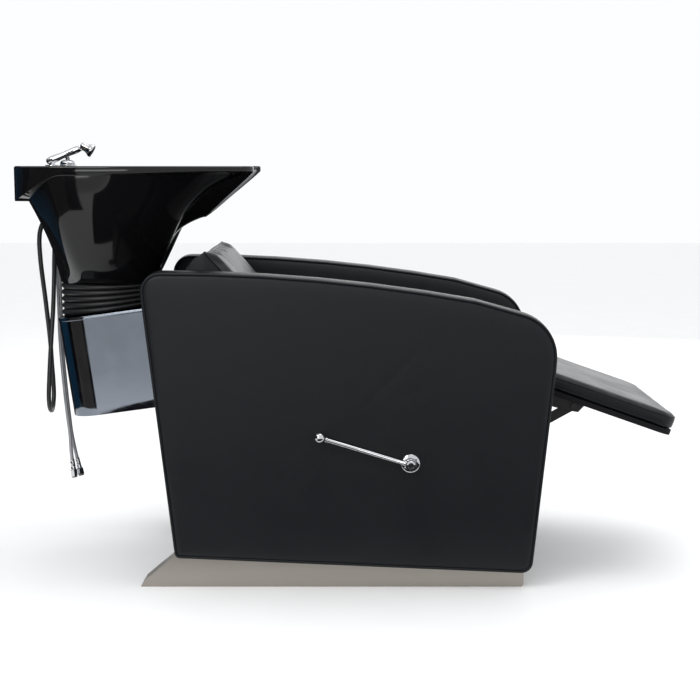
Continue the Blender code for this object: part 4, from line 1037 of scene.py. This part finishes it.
# ---- taps
def make_taps():
    """Mixer with its turning cap and lifting blade, and the hand shower in its guide."""
    mx, my = MIXER_XY
    deck = BOWL_RIM + GAP
    shank = [(0.0150, -0.0550), (0.0155, -0.0545), (0.0155, 0.0), (0.0226, 0.0), (0.0230, 0.0006),
             (0.0228, 0.0018), (0.0218, 0.0025), (0, 0.0025)]
    dress(turned("mixer_shank", shank, (mx, my, deck), UP, 72), "basin_assembly", "chrome", "mixer_body")
    cap = [(0, 0), (0.0181, 0), (0.0185, 0.0005), (0.0185, 0.0048), (0.0180, 0.0062), (0.0168, 0.0080),
           (0.0150, 0.0095), (0.0125, 0.0107), (0.0096, 0.0116), (0.0074, 0.0112), (0.0062, 0.0100),
           (0, 0.0098)]
    dress(turned("mixer_dome", cap, (mx, my, deck + 0.0028), UP, 72), "mixer_turn", "chrome", "mixer_cap")
    ball = deck + 0.0165
    rise = Vector((cos(BLADE_RISE), sin(BLADE_RISE)))
    stations = [(-0.0312, 0.0095, 0.0118, 0.0070), (-0.0300, 0.0090, 0.0128, 0.0092),
                (-0.0220, 0.0074, 0.0132, 0.0100), (-0.0070, 0.0050, 0.0130, 0.0100),
                (0.0150, 0.0050, 0.0126, 0.0098), (0.0400, 0.0052, 0.0122, 0.0092),
                (0.0465, 0.0056, 0.0116, 0.0084), (0.0490, 0.0068, 0.0100, 0.0066)]
    rings = []
    for along, low, high, half in stations:
        ring = []
        middle, tall = (low + high) / 2, (high - low) / 2
        for k in range(32):
            a = 2 * pi * k / 32
            across = half * (abs(cos(a)) ** 0.45) * (1 if cos(a) > 0 else -1)
            up = middle + tall * (abs(sin(a)) ** 0.55) * (1 if sin(a) > 0 else -1)
            ring.append((mx + along * rise.x - up * rise.y, my + across, ball + along * rise.y + up * rise.x))
        rings.append(ring)
    blade = loft("blade", rings, smooth=radians(35))
    neck = turned("neck", [(0.0010, -0.0054), (0.0030, -0.0046), (0.0048, -0.0026), (0.0055, 0.0),
                           (0.0054, 0.0090)], (mx, my, ball), UP, 40)
    dress(join("mixer_blade", [blade, neck]), "mixer_handle", "chrome", "mixer_lever")

    gx, gy = GUIDE_XY
    guide = [(0.0088, -0.0600), (0.0112, -0.0600), (0.0115, -0.0595), (0.0115, 0.0), (0.0166, 0.0),
             (0.0170, 0.0006), (0.0167, 0.0017), (0.0155, 0.0024), (0.0095, 0.0024), (0.0088, 0.0018)]
    ring = turned("guide_ring", guide, (gx, gy, deck), UP, closed=True)
    dress(ring, "basin_assembly", "chrome", "shower_guide")
    slope = Vector((cos(HANDLE_RISE), 0, sin(HANDLE_RISE)))
    low = Vector((gx, gy, deck + 0.0145))
    shank = turned("shank", [(0.0070, -0.0530), (0.0080, -0.0525), (0.0080, 0.0085), (0.0076, 0.0110),
                             (0.0060, 0.0140)], (gx, gy, deck), UP, 48)
    handle = [(0.0030, -0.0145), (0.0058, -0.0130), (0.0078, -0.0090), (0.0088, -0.0030), (0.0090, 0.0040),
              (0.0084, 0.0140), (0.0074, 0.0240), (0.0070, 0.0320), (0.0075, 0.0440), (0.0082, 0.0560),
              (0.0082, 0.0620), (0.0078, 0.0680), (0.0068, 0.0715), (0.0060, 0.0735)]
    grip = turned("grip", handle, low, slope, 48)
    dress(join("shower_grip", [shank, grip]), "hand_shower", "chrome", "shower_handle")
    down = Vector((0.885, 0, -0.466))
    start = low + slope * 0.0830
    head = [(0.0030, -0.0092), (0.0062, -0.0078), (0.0084, -0.0045), (0.0095, 0.0), (0.0099, 0.0040),
            (0.0106, 0.0080), (0.0122, 0.0116), (0.0146, 0.0150), (0.0158, 0.0170), (0.0160, 0.0182),
            (0.0160, 0.0222), (0.0155, 0.0229), (0.0142, 0.0230), (0.0140, 0.0222), (0, 0.0222)]
    dress(turned("shower_rose", head, start, down, 64), "hand_shower", "chrome", "shower_head")
    plate = [(0.0138, 0.0215), (0.0138, 0.0226), (0.0132, 0.0228), (0, 0.0228)]
    jets = [turned("face", plate, start, down, 48)]
    across = down.orthogonal().normalized()
    other = down.cross(across)
    for count, radius in ((1, 0.0), (6, 0.0045), (11, 0.0088)):
        for centre in round_ring(start, across, other, count, radius):
            jets.append(turned("jet", [(0.0009, 0.0226), (0.0008, 0.0233), (0.0004, 0.0234), (0, 0.0230)],
                               centre, down, 10))
    dress(join("shower_nozzles", jets), "hand_shower", "plastic", finish=SPRAY_FACE)


# ---- carried-over CAD nodes
def dress_frame():
    """Give every CAD node that still shows its record slot's finish."""
    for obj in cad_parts.values():
        if obj.hide_render:
            continue
        for held in obj.material_slots:
            key = held.material.name.split(".")[0] if held.material else "steel_black"
            held.material = FINISH.get(key, FINISH["steel_black"])


make_studio()
make_hoses()
make_arms()
make_end_panels()
make_seat()
make_back()
make_leg_rest()
make_lever()
make_shroud()
make_bellows()
make_basin()
make_drain()
make_taps()
dress_frame()

bpy.context.view_layer.update()
